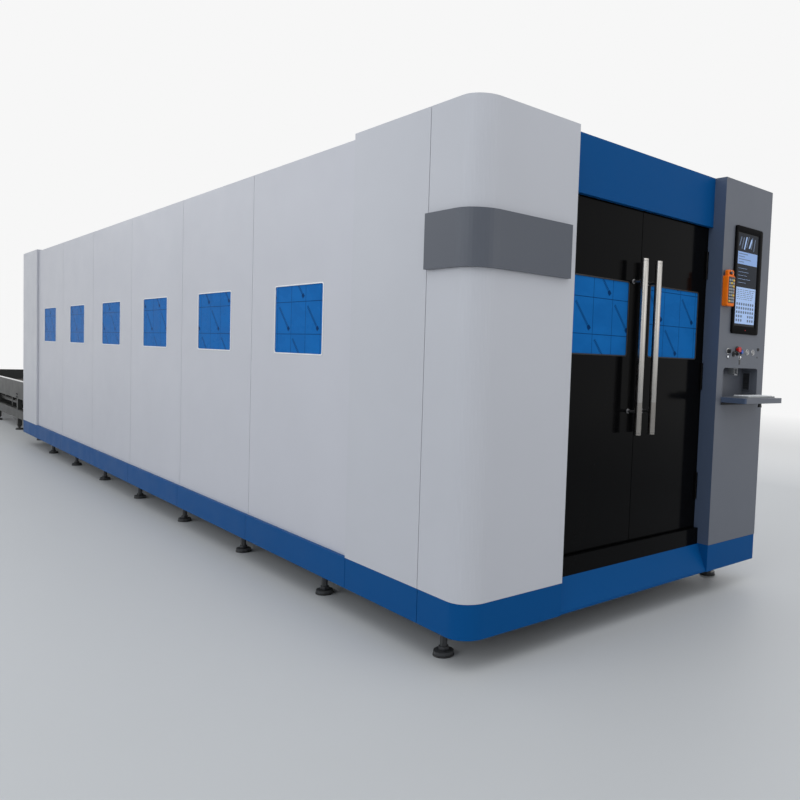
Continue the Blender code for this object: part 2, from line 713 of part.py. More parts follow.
def build_frame_and_roof(machine, paint):
    """The tube frame that stands on the bed and carries the panels, and the two roof panels."""
    front = FRONT_DEPTH + SEAM
    rear = LENGTH - REAR_DEPTH - 2 * FIT
    top_bottom = FRAME_TOP - TUBE
    top_tube = block((FRAME_X, front, top_bottom), (FRAME_X + TUBE, rear, FRAME_TOP))
    joined = [mirrored(top_tube)]
    posts = []
    for place in [front + TUBE / 2] + SEAM_PLACES + [rear - TUBE / 2]:
        low = (FRAME_X, place - TUBE / 2, SKIRT_TOP)
        high = (FRAME_X + TUBE, place + TUBE / 2, top_bottom + SHEET)
        posts.append(block(low, high))
        cross_low = (FRAME_X + TUBE - SHEET, place - TUBE / 2, top_bottom)
        cross_high = (WIDTH - FRAME_X - TUBE + SHEET, place + TUBE / 2, FRAME_TOP - SHEET)
        joined.append(block(cross_low, cross_high))
    joined += both_sides(posts)
    machine.add("enclosure_frame", top_tube, paint["dark"], steps=[("UNION", joined)])

    start = FRONT_DEPTH + SEAM
    length = (LENGTH - start - EDGE_RETURN) / 2
    for number in range(2):
        low = (FRAME_X, start + number * length, FRAME_TOP + FIT)
        high = (WIDTH - FRAME_X, low[1] + length - SEAM, ROOF_TOP)
        tray, pocket = sheet_tray(low, high, ("z", 1))
        machine.add(f"roof_panel_{number + 1}", tray, paint["dark"], steps=[("DIFFERENCE", [pocket])])


def build_rear(machine, paint):
    """The rear wall with the pallet opening, and the gate that comes down over it."""
    wall_left = REAR_CORNER_WIDTH + FIT
    wall_right = WIDTH - PANEL_SETBACK
    low = (wall_left, LENGTH - REAR_DEPTH, SKIRT_TOP)
    tray, pocket = sheet_tray(low, (wall_right, LENGTH, ROOF_TOP), ("y", 1))
    opening_low = (REAR_OPENING_LEFT, LENGTH - 2 * REAR_DEPTH, REAR_OPENING_BOTTOM)
    opening = block(opening_low, (WIDTH - REAR_OPENING_LEFT, LENGTH + SHEET, REAR_OPENING_TOP))
    guides = []
    gate_front = LENGTH - REAR_DEPTH - GATE_THICKNESS - 2 * FIT
    guide_outer = REAR_OPENING_LEFT - GATE_LAP - FIT
    guide_top = REAR_OPENING_TOP + GATE_TRAVEL + 3 * GATE_LAP
    lip_front = gate_front - SHEET - FIT
    web_low = (guide_outer - SHEET, lip_front, REAR_OPENING_BOTTOM)
    guides.append(block(web_low, (guide_outer, LENGTH - SHEET / 2, guide_top)))
    guides.append(block(web_low, (guide_outer + GUIDE_LIP, lip_front + SHEET, guide_top)))
    joined = both_sides(guides)
    steps = [("DIFFERENCE", [pocket, opening]), ("UNION", joined)]
    machine.add("rear_wall", tray, paint["white"], steps=steps)

    rest = REAR_OPENING_TOP + GATE_LAP / 2
    gate_low = (REAR_OPENING_LEFT - GATE_LAP, gate_front, rest)
    gate_high = (WIDTH - gate_low[0], gate_front + GATE_THICKNESS, rest + GATE_TRAVEL)
    gate, pocket = sheet_tray(gate_low, gate_high, ("y", 1))
    origin = (WIDTH / 2, gate_front, rest)
    machine.add("rear_gate", gate, paint["grey"], origin, steps=[("DIFFERENCE", [pocket])])


def other_leaf(solid):
    """The same solid on the other side of the doorway."""
    return mirrored(solid, DOORWAY_MIDDLE)


def knuckle(low, high):
    """One barrel section of a door hinge."""
    return rod((HINGE_X, HINGE_Y, low), (HINGE_X, HINGE_Y, high), KNUCKLE_RADIUS, KNUCKLE_SIDES)


def build_doorway(machine, paint):
    """The header, the black frame with its hinge knuckles, the kick plate and the sloped apron."""
    start = CORNER_WIDTH + FIT
    end = CONSOLE_X - FIT
    path = [(FRONT_DEPTH - FIT, HEIGHT), (DOORWAY_SETBACK, HEIGHT), (DOORWAY_SETBACK, HEADER_BOTTOM)]
    path.append((LEAF_SETBACK - FIT, HEADER_BOTTOM))
    machine.add("header", prism(folded(path), "x", start, end), paint["blue"])

    frame_back = LEAF_SETBACK + JAMB_DEPTH
    frame_top = HEADER_BOTTOM + FRAME_RAIL_HEIGHT
    jamb_low = (start, LEAF_SETBACK, SKIRT_TOP)
    jamb = block(jamb_low, (start + JAMB_THICKNESS, frame_back, frame_top))
    joined = [other_leaf(jamb)]
    for low, high in ((HEADER_BOTTOM - LEAF_CLEARANCE, frame_top), (KICK_TOP - SILL_HEIGHT, KICK_TOP)):
        joined.append(block((start + SHEET, LEAF_SETBACK, low), (end - SHEET, frame_back, high)))
    for height in HINGE_HEIGHTS:
        for away in (-1, 1):
            near = height + away * (KNUCKLE_LENGTH / 2 + FIT)
            far = near + away * KNUCKLE_LENGTH
            lug_low = (start + FIT, HINGE_Y, min(near, far))
            lug = block(lug_low, (HINGE_X, LEAF_SETBACK + 4 * FIT, max(near, far)))
            barrel = knuckle(min(near, far), max(near, far))
            joined += [lug, barrel, other_leaf(lug), other_leaf(barrel)]
    machine.add("door_frame", jamb, paint["black"], steps=[("UNION", joined)])

    back = LEAF_SETBACK - FIT
    path = [(back, KICK_TOP), (DOORWAY_SETBACK, KICK_TOP), (DOORWAY_SETBACK, KICK_BOTTOM)]
    path.append((back, KICK_BOTTOM))
    machine.add("kick_plate", prism(folded(path), "x", start, end), paint["black"])

    path = [(BED_FRONT - FIT, APRON_TOP), (DOORWAY_SETBACK, APRON_TOP)]
    path += [(APRON_FRONT, FLOOR_GAP + APRON_LIP), (APRON_FRONT, FLOOR_GAP)]
    path.append((APRON_FRONT + EDGE_RETURN, FLOOR_GAP))
    machine.add("apron", prism(folded(path), "x", start, end), paint["blue"])


def build_doors(machine, paint):
    """The two hinged leaves with their windows and long tube handles."""
    for side in ("left", "right"):
        place = other_leaf if side == "right" else (lambda solid: solid)
        low = (LEAF_LEFT, LEAF_SETBACK, LEAF_BOTTOM)
        high = (LEAF_RIGHT, LEAF_SETBACK + LEAF_THICKNESS, LEAF_TOP)
        leaf = block(low, high)
        pocket_low = (LEAF_LEFT + LEAF_SKIN, LEAF_SETBACK + LEAF_SKIN, LEAF_BOTTOM + LEAF_SKIN)
        pocket = block(pocket_low, (LEAF_RIGHT - LEAF_SKIN, high[1] + SHEET, LEAF_TOP - LEAF_SKIN))
        middle = DOORWAY_MIDDLE - DOOR_WINDOW_OFFSET
        window_low = (middle - DOOR_WINDOW_WIDTH / 2, DOOR_WINDOW_BOTTOM)
        window_high = (middle + DOOR_WINDOW_WIDTH / 2, DOOR_WINDOW_BOTTOM + DOOR_WINDOW_HEIGHT)
        outline = rounded(window_low, window_high, WINDOW_CORNER)
        hole = prism(outline, "y", LEAF_SETBACK - SHEET, LEAF_SETBACK + 2 * LEAF_SKIN)
        joined = []
        for height in HINGE_HEIGHTS:
            half = KNUCKLE_LENGTH / 2
            lug_high = (HINGE_X + 2 * KNUCKLE_RADIUS, LEAF_SETBACK + LEAF_SKIN / 2, height + half)
            joined.append(block((HINGE_X, HINGE_Y, height - half), lug_high))
            joined.append(knuckle(height - half, height + half))
            rib_low = (LEAF_LEFT + LEAF_SKIN / 2, LEAF_SETBACK + LEAF_SKIN / 2, height - half)
            rib_high = (LEAF_RIGHT - LEAF_SKIN / 2, LEAF_SETBACK + LEAF_THICKNESS / 2, height + half)
            joined.append(block(rib_low, rib_high))
        hinge_x = HINGE_X if side == "left" else 2 * DOORWAY_MIDDLE - HINGE_X
        origin = (hinge_x, HINGE_Y, LEAF_BOTTOM)
        steps = [("DIFFERENCE", [place(pocket), place(hole)]), ("UNION", [place(s) for s in joined])]
        name = f"door_{side}"
        machine.add(name, place(leaf), paint["black"], origin, steps=steps)

        face = LEAF_SETBACK + LEAF_SKIN + FIT
        pane_low = (window_low[0] - PANE_LAP, face, window_low[1] - PANE_LAP)
        pane_high = (window_high[0] + PANE_LAP, face + PANE_THICKNESS, window_high[1] + PANE_LAP)
        pane = place(block(pane_low, pane_high))
        machine.add(f"door_window_{side}", pane, paint["film"], origin, on=name)

        grip_x = DOORWAY_MIDDLE - HANDLE_OFFSET
        grip_y = LEAF_SETBACK - HANDLE_STANDOFF
        seat = LEAF_SETBACK - FIT
        grip = rod((grip_x, grip_y, HANDLE_BOTTOM), (grip_x, grip_y, HANDLE_TOP), HANDLE_RADIUS)
        mounts = []
        for height in STANDOFF_HEIGHTS:
            mounts.append(rod((grip_x, grip_y, height), (grip_x, seat, height), STANDOFF_RADIUS, BAR_SIDES))
            collar = (grip_x, seat - COLLAR_LENGTH, height)
            mounts.append(rod(collar, (grip_x, seat, height), COLLAR_RADIUS, ROUND_SIDES))
        steps = [("UNION", [place(s) for s in mounts])]
        name = f"door_handle_{side}"
        machine.add(name, place(grip), paint["steel"], origin, f"door_{side}", steps, smooth=SMOOTH_ANGLE)


def build_console(machine, paint):
    """The console cabinet with its niche and bores, its base, the monitor and the flap."""
    body = block((CONSOLE_X, 0.0, SKIRT_TOP), (WIDTH, FRONT_DEPTH, HEIGHT))
    inside = block(
        (CONSOLE_X + SHEET, SHEET, SKIRT_TOP + SHEET),
        (WIDTH - SHEET, FRONT_DEPTH + SHEET, HEIGHT - SHEET),
    )
    liner_low = (NICHE_LEFT - SHEET, NICHE_BOTTOM - SHEET)
    liner_high = (NICHE_RIGHT + SHEET, NICHE_TOP + SHEET)
    liner_outline = rounded(liner_low, liner_high, NICHE_CORNER + SHEET)
    liner = prism(liner_outline, "y", SHEET / 2, NICHE_DEPTH + SHEET)
    niche_outline = rounded((NICHE_LEFT, NICHE_BOTTOM), (NICHE_RIGHT, NICHE_TOP), NICHE_CORNER)
    niche = prism(niche_outline, "y", -SHEET, NICHE_DEPTH)
    bores = [niche]
    for x, height, stem in STEMS:
        bores.append(rod((x, -SHEET, height), (x, 2 * SHEET, height), stem + FIT))
    hook_x = PENDANT_LEFT + PENDANT_WIDTH / 2
    hook_end = (hook_x, -PENDANT_THICKNESS - SHEET, HOOK_Z)
    hook = rod((hook_x, SHEET / 2, HOOK_Z), hook_end, HOOK_RADIUS, BAR_SIDES)
    steps = [("DIFFERENCE", [inside]), ("UNION", [liner, hook]), ("DIFFERENCE", bores)]
    machine.add("console_body", body, paint["grey"], steps=steps)

    left = CONSOLE_X + FIT
    right = WIDTH - SKIRT_INSET
    path = [(left, BED_FRONT - FIT), (left, SKIRT_INSET), (right, SKIRT_INSET), (right, FRONT_DEPTH)]
    base = prism(folded(path), "z", FLOOR_GAP, SKIRT_TOP - FIT)
    machine.add("console_base", base, paint["blue"])

    outline = rounded((MONITOR_LEFT, MONITOR_BOTTOM), (MONITOR_RIGHT, MONITOR_TOP), MONITOR_CORNER)
    bezel = prism(outline, "y", -MONITOR_DEPTH, -FIT)
    floor = SCREEN_RECESS - MONITOR_DEPTH
    recess = block(
        (SCREEN_LEFT - FIT, -MONITOR_DEPTH - SHEET, SCREEN_BOTTOM - FIT),
        (SCREEN_RIGHT + FIT, floor, SCREEN_TOP + FIT),
    )
    steps = [("DIFFERENCE", [recess])]
    machine.add("monitor_bezel", bezel, paint["plastic"], steps=steps, bevel=SHEET)
    screen_low = (SCREEN_LEFT, floor - FIT - SCREEN_THICKNESS, SCREEN_BOTTOM)
    screen = block(screen_low, (SCREEN_RIGHT, floor - FIT, SCREEN_TOP))
    machine.add("monitor_screen", screen, paint["screen"])

    front = -FLAP_GAP - FLAP_REACH
    outline = arc((FLAP_LEFT + FLAP_CORNER, front + FLAP_CORNER), FLAP_CORNER, 180, 270, FLAP_ARC_STEPS)
    outline += arc((FLAP_RIGHT - FLAP_CORNER, front + FLAP_CORNER), FLAP_CORNER, 270, 360, FLAP_ARC_STEPS)
    outline += [(FLAP_RIGHT, -FLAP_GAP), (FLAP_LEFT, -FLAP_GAP)]
    flap = prism(outline, "z", FLAP_TOP - FLAP_THICKNESS, FLAP_TOP)
    hinge = ((FLAP_LEFT + FLAP_RIGHT) / 2, -FLAP_GAP, FLAP_TOP)
    machine.add("keyboard_flap", flap, paint["grey"], hinge, bevel=SHEET / 2)
    knob_top = (hinge[0], front + KNOB_INSET, FLAP_TOP - FLAP_THICKNESS - FIT)
    knob_end = (knob_top[0], knob_top[1], knob_top[2] - KNOB_LENGTH)
    knob = rod(knob_top, knob_end, KNOB_RADIUS * KNOB_WAIST, ROUND_SIDES, KNOB_RADIUS)
    machine.add("flap_knob", knob, paint["plastic"], knob_top, on="keyboard_flap", smooth=SMOOTH_ANGLE)


def build_controls(machine, paint):
    """The six controls in their bores, and the hand pendant on its hook."""
    (selector, key, stop, blue, left, right) = STEMS
    for name, place, reach, finish in (
        ("blue_button", blue, STEM_DEPTH / 3, "button_blue"),
        ("steel_button_left", left, STEEL_STAND, "steel"),
        ("steel_button_right", right, STEEL_STAND, "steel"),
    ):
        x, height, stem = place
        button = rod((x, -reach, height), (x, STEM_DEPTH, height), stem)
        machine.add(name, button, paint[finish], (x, 0.0, height), smooth=SMOOTH_ANGLE, bevel=SHEET / 4)

    x, height, stem = stop
    head_back = -STOP_TRAVEL - SHEET
    shaft = rod((x, head_back - STOP_HEAD / 2, height), (x, STEM_DEPTH, height), stem)
    neck = rod((x, head_back, height), (x, head_back - STOP_HEAD / 2, height), STOP_RADIUS * STOP_NECK)
    head_front = head_back - STOP_HEAD
    cap = rod((x, head_back - STOP_HEAD / 3, height), (x, head_front, height), STOP_RADIUS)
    steps = [("UNION", [neck, cap])]
    machine.add("e_stop", shaft, paint["red"], (x, 0.0, height), steps=steps, smooth=SMOOTH_ANGLE)

    x, height, stem = selector
    shaft = rod((x, -SWITCH_HEAD / 2, height), (x, STEM_DEPTH, height), stem)
    dial = rod((x, -SHEET / 2, height), (x, -SWITCH_HEAD, height), SWITCH_DIAL)
    grip_low = (x - SWITCH_HEAD / 4, -GRIP_REACH, height - SWITCH_DIAL * GRIP_SHARE)
    grip = block(grip_low, (x + SWITCH_HEAD / 4, -SWITCH_HEAD / 2, height + SWITCH_DIAL * GRIP_SHARE))
    steps = [("UNION", [dial, grip])]
    machine.add("selector_switch", shaft, paint["plastic"], (x, 0.0, height), steps=steps, smooth=SMOOTH_ANGLE)

    x, height, stem = key
    shaft = rod((x, -SWITCH_HEAD / 2, height), (x, STEM_DEPTH, height), stem)
    barrel = rod((x, -SHEET / 2, height), (x, -SWITCH_HEAD / 2, height), SWITCH_DIAL * GRIP_SHARE)
    half = KEY_BLADE / 2
    blade = block((x - half, -KEY_LENGTH / 2, height - 3 * half), (x + half, 0.0, height + 3 * half))
    bow_centre = -KEY_LENGTH + KEY_BOW
    bow = rod((x - half, bow_centre, height), (x + half, bow_centre, height), KEY_BOW, KEY_BOW_SIDES)
    steps = [("UNION", [barrel, blade, bow])]
    machine.add("key_switch", shaft, paint["steel"], (x, 0.0, height), steps=steps, smooth=SMOOTH_ANGLE)

    body_top = PENDANT_BOTTOM + PENDANT_BODY_HEIGHT
    outline = rounded(
        (PENDANT_LEFT, PENDANT_BOTTOM), (PENDANT_LEFT + PENDANT_WIDTH, body_top), PENDANT_CORNER
    )
    pendant = prism(outline, "y", -FIT - PENDANT_THICKNESS, -FIT)
    middle = (PENDANT_LEFT + PENDANT_WIDTH / 2, body_top + LOOP_LEG)
    inner = LOOP_RADIUS - LOOP_BAR
    outline = [(middle[0] + LOOP_RADIUS, body_top - SHEET)] + arc(middle, LOOP_RADIUS, 0, 180)
    outline += [(middle[0] - LOOP_RADIUS, body_top - SHEET), (middle[0] - inner, body_top - SHEET)]
    outline += arc(middle, inner, 180, 0) + [(middle[0] + inner, body_top - SHEET)]
    loop_front = -FIT - PENDANT_THICKNESS * LOOP_FRONT_SHARE
    loop = prism(outline, "y", loop_front, -FIT - PENDANT_THICKNESS * LOOP_BACK_SHARE)
    steps = [("UNION", [loop])]
    machine.add("pendant", pendant, paint["orange"], steps=steps, bevel=SHEET)


def build_gantry(machine, paint):
    """The gantry on the bed's rails, the carriage on its beam and the cutting head."""
    left = BED_WALL_LEFT - GANTRY_OVERHANG
    back = GANTRY_FRONT + GANTRY_DEPTH
    beam = block((left, GANTRY_FRONT, GANTRY_BOTTOM), (WIDTH - left, back, GANTRY_TOP))
    hollow = block(
        (left - SHEET, GANTRY_FRONT + BEAM_WALL, GANTRY_BOTTOM + BEAM_WALL),
        (WIDTH - left + SHEET, back - BEAM_WALL, GANTRY_TOP - BEAM_WALL),
    )
    half = SLIDER_WIDTH / 2
    slider_start = GANTRY_FRONT + (GANTRY_DEPTH - SLIDER_LENGTH) / 2
    slider_low = (RAIL_X - half, slider_start, BED_TOP + SLIDER_LIFT)
    slider_high = (RAIL_X + half, slider_start + SLIDER_LENGTH, GANTRY_BOTTOM + BEAM_WALL / 2)
    slider = block(slider_low, slider_high)
    slot_half = RAIL_WIDTH / 2 + FIT
    slot_low = (RAIL_X - slot_half, slider_start - SHEET, BED_TOP)
    slot_high = (RAIL_X + slot_half, slider_start + SLIDER_LENGTH + SHEET, BED_TOP + RAIL_HEIGHT + 2 * FIT)
    slot = block(slot_low, slot_high)
    rails = []
    for bottom in (BEAM_RAIL_LOW, BEAM_RAIL_HIGH):
        low = (left + GANTRY_OVERHANG, GANTRY_FRONT - BEAM_RAIL_DEPTH, bottom)
        rails.append(block(low, (WIDTH - low[0], GANTRY_FRONT + BEAM_WALL / 2, bottom + BEAM_RAIL_HEIGHT)))
    steps = [("DIFFERENCE", [hollow]), ("UNION", both_sides([slider]) + rails)]
    steps.append(("DIFFERENCE", both_sides([slot])))
    origin = (WIDTH / 2, GANTRY_FRONT, GANTRY_BOTTOM)
    machine.add("gantry", beam, paint["aluminium"], origin, steps=steps)

    near = GANTRY_FRONT - SHEET
    far = GANTRY_FRONT - BEAM_RAIL_DEPTH - CARRIAGE_DEPTH
    half = CARRIAGE_WIDTH / 2
    plate = block((CARRIAGE_X - half, far, CARRIAGE_BOTTOM), (CARRIAGE_X + half, near, CARRIAGE_TOP))
    slots = []
    for bottom in (BEAM_RAIL_LOW, BEAM_RAIL_HIGH):
        low = (CARRIAGE_X - half - SHEET, GANTRY_FRONT - BEAM_RAIL_DEPTH - FIT, bottom - FIT)
        slots.append(block(low, (CARRIAGE_X + half + SHEET, GANTRY_FRONT, bottom + BEAM_RAIL_HEIGHT + FIT)))
    origin = (CARRIAGE_X, far, CARRIAGE_BOTTOM)
    machine.add("carriage", plate, paint["dark"], origin, "gantry", [("DIFFERENCE", slots)])

    seat = far - FIT
    half = HEAD_WIDTH / 2
    centre = seat - HEAD_DEPTH / 2
    body = block((CARRIAGE_X - half, seat - HEAD_DEPTH, HEAD_BOTTOM), (CARRIAGE_X + half, seat, HEAD_TOP))
    barrel_end = HEAD_BOTTOM - (HEAD_BOTTOM - NOZZLE_TIP) / 2
    barrel_start = (CARRIAGE_X, centre, HEAD_BOTTOM + SHEET)
    barrel = rod(barrel_start, (CARRIAGE_X, centre, barrel_end), HEAD_DEPTH * HEAD_BARREL_SHARE)
    nozzle_start = (CARRIAGE_X, centre, barrel_end + SHEET)
    nozzle = rod(nozzle_start, (CARRIAGE_X, centre, NOZZLE_TIP), HEAD_DEPTH * NOZZLE_SHARE, NOZZLE_SIDES, SHEET)
    fibre_top = HEAD_TOP + HEAD_DEPTH
    fibre = rod((CARRIAGE_X, centre, HEAD_TOP - SHEET), (CARRIAGE_X, centre, fibre_top), HEAD_DEPTH * FIBRE_SHARE)
    steps = [("UNION", [barrel, nozzle, fibre])]
    origin = (CARRIAGE_X, centre, NOZZLE_TIP)
    machine.add("cutting_head", body, paint["aluminium"], origin, "carriage", steps, bevel=2 * SHEET)


def slat_outline(bottom):
    """The section of a serrated slat across the machine: a strip with a row of teeth."""
    left = PALLET_LEFT + PALLET_TUBE / 2
    inner = PALLET_LEFT + PALLET_TUBE + SLAT_THICKNESS
    pitch = (WIDTH - 2 * inner) / TOOTH_COUNT
    teeth = [(WIDTH - inner, bottom + SLAT_VALLEY)]
    for number in range(TOOTH_COUNT):
        tip = WIDTH - inner - (number + 0.5) * pitch
        teeth.append((tip, bottom + SLAT_TIP))
        teeth.append((tip - pitch / 2, bottom + SLAT_VALLEY))
    ends = bottom + SLAT_VALLEY - 2 * SHEET
    outline = [(left, bottom + SLAT_BASE), (WIDTH - left, bottom + SLAT_BASE), (WIDTH - left, ends)]
    return outline + teeth + [(left, ends)]


def add_pallet(machine, paint, name, start, level, on=None):
    """A cutting pallet: its frame, the serrated slats across it and the wheels at its sides."""
    bottom = level + PALLET_LIFT
    top = bottom + PALLET_HEIGHT
    end = start + PALLET_LENGTH
    right = WIDTH - PALLET_LEFT
    side = block((PALLET_LEFT, start, bottom), (PALLET_LEFT + PALLET_TUBE, end, top))
    joined = [mirrored(side)]
    for place in (start, end - PALLET_TUBE):
        low = (PALLET_LEFT + SHEET, place, bottom + SHEET)
        joined.append(block(low, (right - SHEET, place + PALLET_TUBE, top - SHEET)))
    keel_half = PALLET_TUBE / 2
    keel_low = (WIDTH / 2 - keel_half, start + SHEET, bottom + SHEET)
    joined.append(block(keel_low, (WIDTH / 2 + keel_half, end - SHEET, bottom + KEEL_HEIGHT)))
    slats = []
    count = round((PALLET_LENGTH - 2 * PALLET_TUBE) / SLAT_PITCH) - 1
    margin = (PALLET_LENGTH - (count - 1) * SLAT_PITCH) / 2
    for number in range(count):
        place = start + margin + number * SLAT_PITCH
        half = SLAT_THICKNESS / 2
        slats.append(prism(slat_outline(bottom), "y", place - half, place + half))
    joined.append(together(slats))
    wheels = []
    wheel_z = level + FIT + WHEEL_RADIUS
    for number in range(WHEEL_COUNT):
        place = start + PALLET_LENGTH * (number + 0.5) / WHEEL_COUNT
        axle = (PALLET_LEFT + SHEET, place, wheel_z)
        wheels.append(rod(axle, (PALLET_LEFT - WHEEL_WIDTH, place, wheel_z), WHEEL_RADIUS, BAR_SIDES))
    joined += both_sides(wheels)
    origin = (WIDTH / 2, start, bottom)
    machine.add(name, side, paint["raw"], origin, on, [("UNION", joined)])


def build_changer(machine, paint):
    """The pallet changer: its frame, the two-storey lift in it, both pallets and the drive."""
    low_start = LENGTH - BED_TUBE_INSET + FIT
    low_beam = block(
        (TABLE_LEFT, low_start, TABLE_LOW_BOTTOM), (TABLE_INNER, TABLE_END - SHEET, TABLE_LOW_TOP)
    )
    joined = [mirrored(low_beam)]
    beam_low = (TABLE_LEFT, LENGTH + GATE_LAP, TABLE_BEAM_BOTTOM)
    sides = [block(beam_low, (TABLE_INNER, END_FACE - SHEET, TABLE_BEAM_TOP))]
    for place in LEG_PLACES:
        half = LEG_WIDTH / 2
        leg_low = (TABLE_LEFT + SHEET, place - half, LEG_BOTTOM)
        sides.append(block(leg_low, (TABLE_INNER - SHEET, place + half, TABLE_BEAM_BOTTOM + SHEET)))
        centre = (TABLE_LEFT + TABLE_BEAM / 2, place)
        sides.append(rod((*centre, 0.0), (*centre, FOOT_PAD), FOOT_RADIUS, FOOT_SIDES))
        stem_top = (*centre, LEG_BOTTOM + SHEET)
        sides.append(rod((*centre, FOOT_PAD / 2), stem_top, FOOT_STEM, STEM_SIDES))
        cross_low = (TABLE_INNER - 2 * SHEET, place - half, TABLE_LOW_BOTTOM + SHEET)
        joined.append(block(cross_low, (WIDTH - cross_low[0], place + half, TABLE_LOW_TOP - SHEET)))
    end_low = (TABLE_LEFT + SHEET, TABLE_END - TABLE_BEAM, TABLE_BEAM_BOTTOM + SHEET)
    joined.append(block(end_low, (WIDTH - end_low[0], END_FACE, TABLE_BEAM_TOP - SHEET)))
    joined += both_sides(sides)
    machine.add("exchange_frame", low_beam, paint["dark"], steps=[("UNION", joined)])

    post_left = TABLE_INNER + FIT
    ledge_right = BED_WALL_RIGHT + LEDGE_REACH
    lift_start = LENGTH + LIFT_MARGIN
    lift_end = TABLE_END - LIFT_MARGIN
    tie_bottom = TABLE_LOW_TOP + FIT
    low = (post_left + SHEET, lift_start, LEDGE_TOP - LEDGE_THICKNESS)
    ledge = block(low, (ledge_right, lift_end, LEDGE_TOP))
    joined = [mirrored(ledge)]
    sides = []
    lower = LEDGE_TOP - LEVEL_STEP
    sides.append(block((low[0], lift_start, lower - LEDGE_THICKNESS), (ledge_right, lift_end, lower)))
    for place in LIFT_PLACES:
        half = LIFT_POST_WIDTH / 2
        post_high = (post_left + LIFT_POST, place + half, LEDGE_TOP - SHEET)
        sides.append(block((post_left, place - half, tie_bottom), post_high))
        tie_low = (post_left + SHEET, place - half + SHEET, tie_bottom)
        tie_high = (WIDTH - tie_low[0], place + half - SHEET, tie_bottom + LIFT_TIE_HEIGHT)
        joined.append(block(tie_low, tie_high))
    joined += both_sides(sides)
    origin = (WIDTH / 2, lift_start, tie_bottom)
    machine.add("lift_frame", ledge, paint["blue"], origin, steps=[("UNION", joined)])

    add_pallet(machine, paint, "pallet_upper", PALLET_START, LEDGE_TOP)
    lower_start = PALLET_START + PALLET_TRAVEL
    add_pallet(machine, paint, "pallet_lower", lower_start, lower, on="lift_frame")

    seat = WIDTH - TABLE_LEFT + FIT
    middle = (TABLE_BEAM_BOTTOM + TABLE_BEAM_TOP) / 2
    half = GEARBOX / 2
    gearbox = block(
        (seat, MOTOR_PLACE - half, middle - half), (seat + GEARBOX, MOTOR_PLACE + half, middle + half)
    )
    motor_start = (seat + half, MOTOR_PLACE + half - SHEET, middle)
    motor_end = (seat + half, MOTOR_PLACE + half + MOTOR_LENGTH, middle)
    motor = rod(motor_start, motor_end, MOTOR_RADIUS)
    machine.add("table_drive_motor", gearbox, paint["dark"], steps=[("UNION", [motor])])


def main():
    clear_scene()
    machine = Machine()
    paint = materials()
    build_bed(machine, paint)
    build_frame_and_roof(machine, paint)
    build_corner(machine, paint)
    build_left_side(machine, paint)
    build_right_side(machine, paint)
    build_rear(machine, paint)
    build_doorway(machine, paint)
    build_doors(machine, paint)
    build_console(machine, paint)
    build_controls(machine, paint)
    build_gantry(machine, paint)
    build_changer(machine, paint)


main()
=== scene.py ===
"""Looks of the fiber laser cutting machine: finishes, trim, display, controls and inner fittings.

Sizes are in metres. place() takes a point measured from the front left corner of the
enclosure on the floor (x to the right, y to the rear, z up) to the frame's own place.
"""

import math
import random

import bmesh
import bpy
from mathutils import Matrix, Vector


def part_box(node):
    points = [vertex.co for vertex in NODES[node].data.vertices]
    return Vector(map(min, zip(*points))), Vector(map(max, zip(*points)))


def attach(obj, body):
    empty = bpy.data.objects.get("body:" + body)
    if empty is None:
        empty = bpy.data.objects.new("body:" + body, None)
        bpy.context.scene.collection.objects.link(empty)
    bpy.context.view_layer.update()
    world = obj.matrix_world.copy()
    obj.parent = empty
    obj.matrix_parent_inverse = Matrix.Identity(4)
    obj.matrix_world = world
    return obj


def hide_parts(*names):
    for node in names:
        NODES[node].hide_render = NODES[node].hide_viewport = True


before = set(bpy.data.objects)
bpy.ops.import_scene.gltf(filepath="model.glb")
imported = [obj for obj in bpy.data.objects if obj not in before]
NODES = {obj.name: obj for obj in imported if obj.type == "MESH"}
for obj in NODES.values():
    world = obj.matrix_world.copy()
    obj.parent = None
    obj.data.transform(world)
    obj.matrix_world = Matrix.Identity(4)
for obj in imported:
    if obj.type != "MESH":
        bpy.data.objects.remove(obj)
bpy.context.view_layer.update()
ROOT = "enclosure"

# The front left corner of the enclosure in the frame
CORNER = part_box("corner_block")[0]
LEFT = CORNER.x
FRONT = CORNER.y

# The photograph's camera, from the enclosure's front left corner
CAMERA_PLACE = (-1.87, -2.307, 1.308)
CAMERA_ANGLES = (43.801, -3.115, 2.226)
CAMERA_LENS = 33.744
CAMERA_SHIFT = (-0.16625, -0.00175)

# The line between the door leaves, the leaves' front face and the face of the display's glass
DOOR_MIDDLE = 1.1605
LEAF_FACE = 0.1
SCREEN_FACE = -0.0086

# Cutting pallets
PALLET_SIDE, PALLET_RIGHT = 0.335, 1.915
PALLET_LENGTH = 6.3
SLAT_COUNT = 70
SLAT_TEETH = 24

# Where the changer's legs stand
LEG_PLACES = (9.05, 10.46, 12.1, 13.7, 15.26)

# Directions, and a gap that keeps a fitting just clear of the face that carries it
LEFTWARD, RIGHTWARD, FORWARD, BACKWARD, UP = (-1, 0, 0), (1, 0, 0), (0, -1, 0), (0, 1, 0), (0, 0, 1)
CLEAR = 0.0001


def place(x, y, z):
    return Vector((LEFT + x, FRONT + y, z))


def box_of(name):
    """A node's lowest and highest corner, measured on the enclosure."""
    return [(corner.x - LEFT, corner.y - FRONT, corner.z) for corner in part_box(name)]


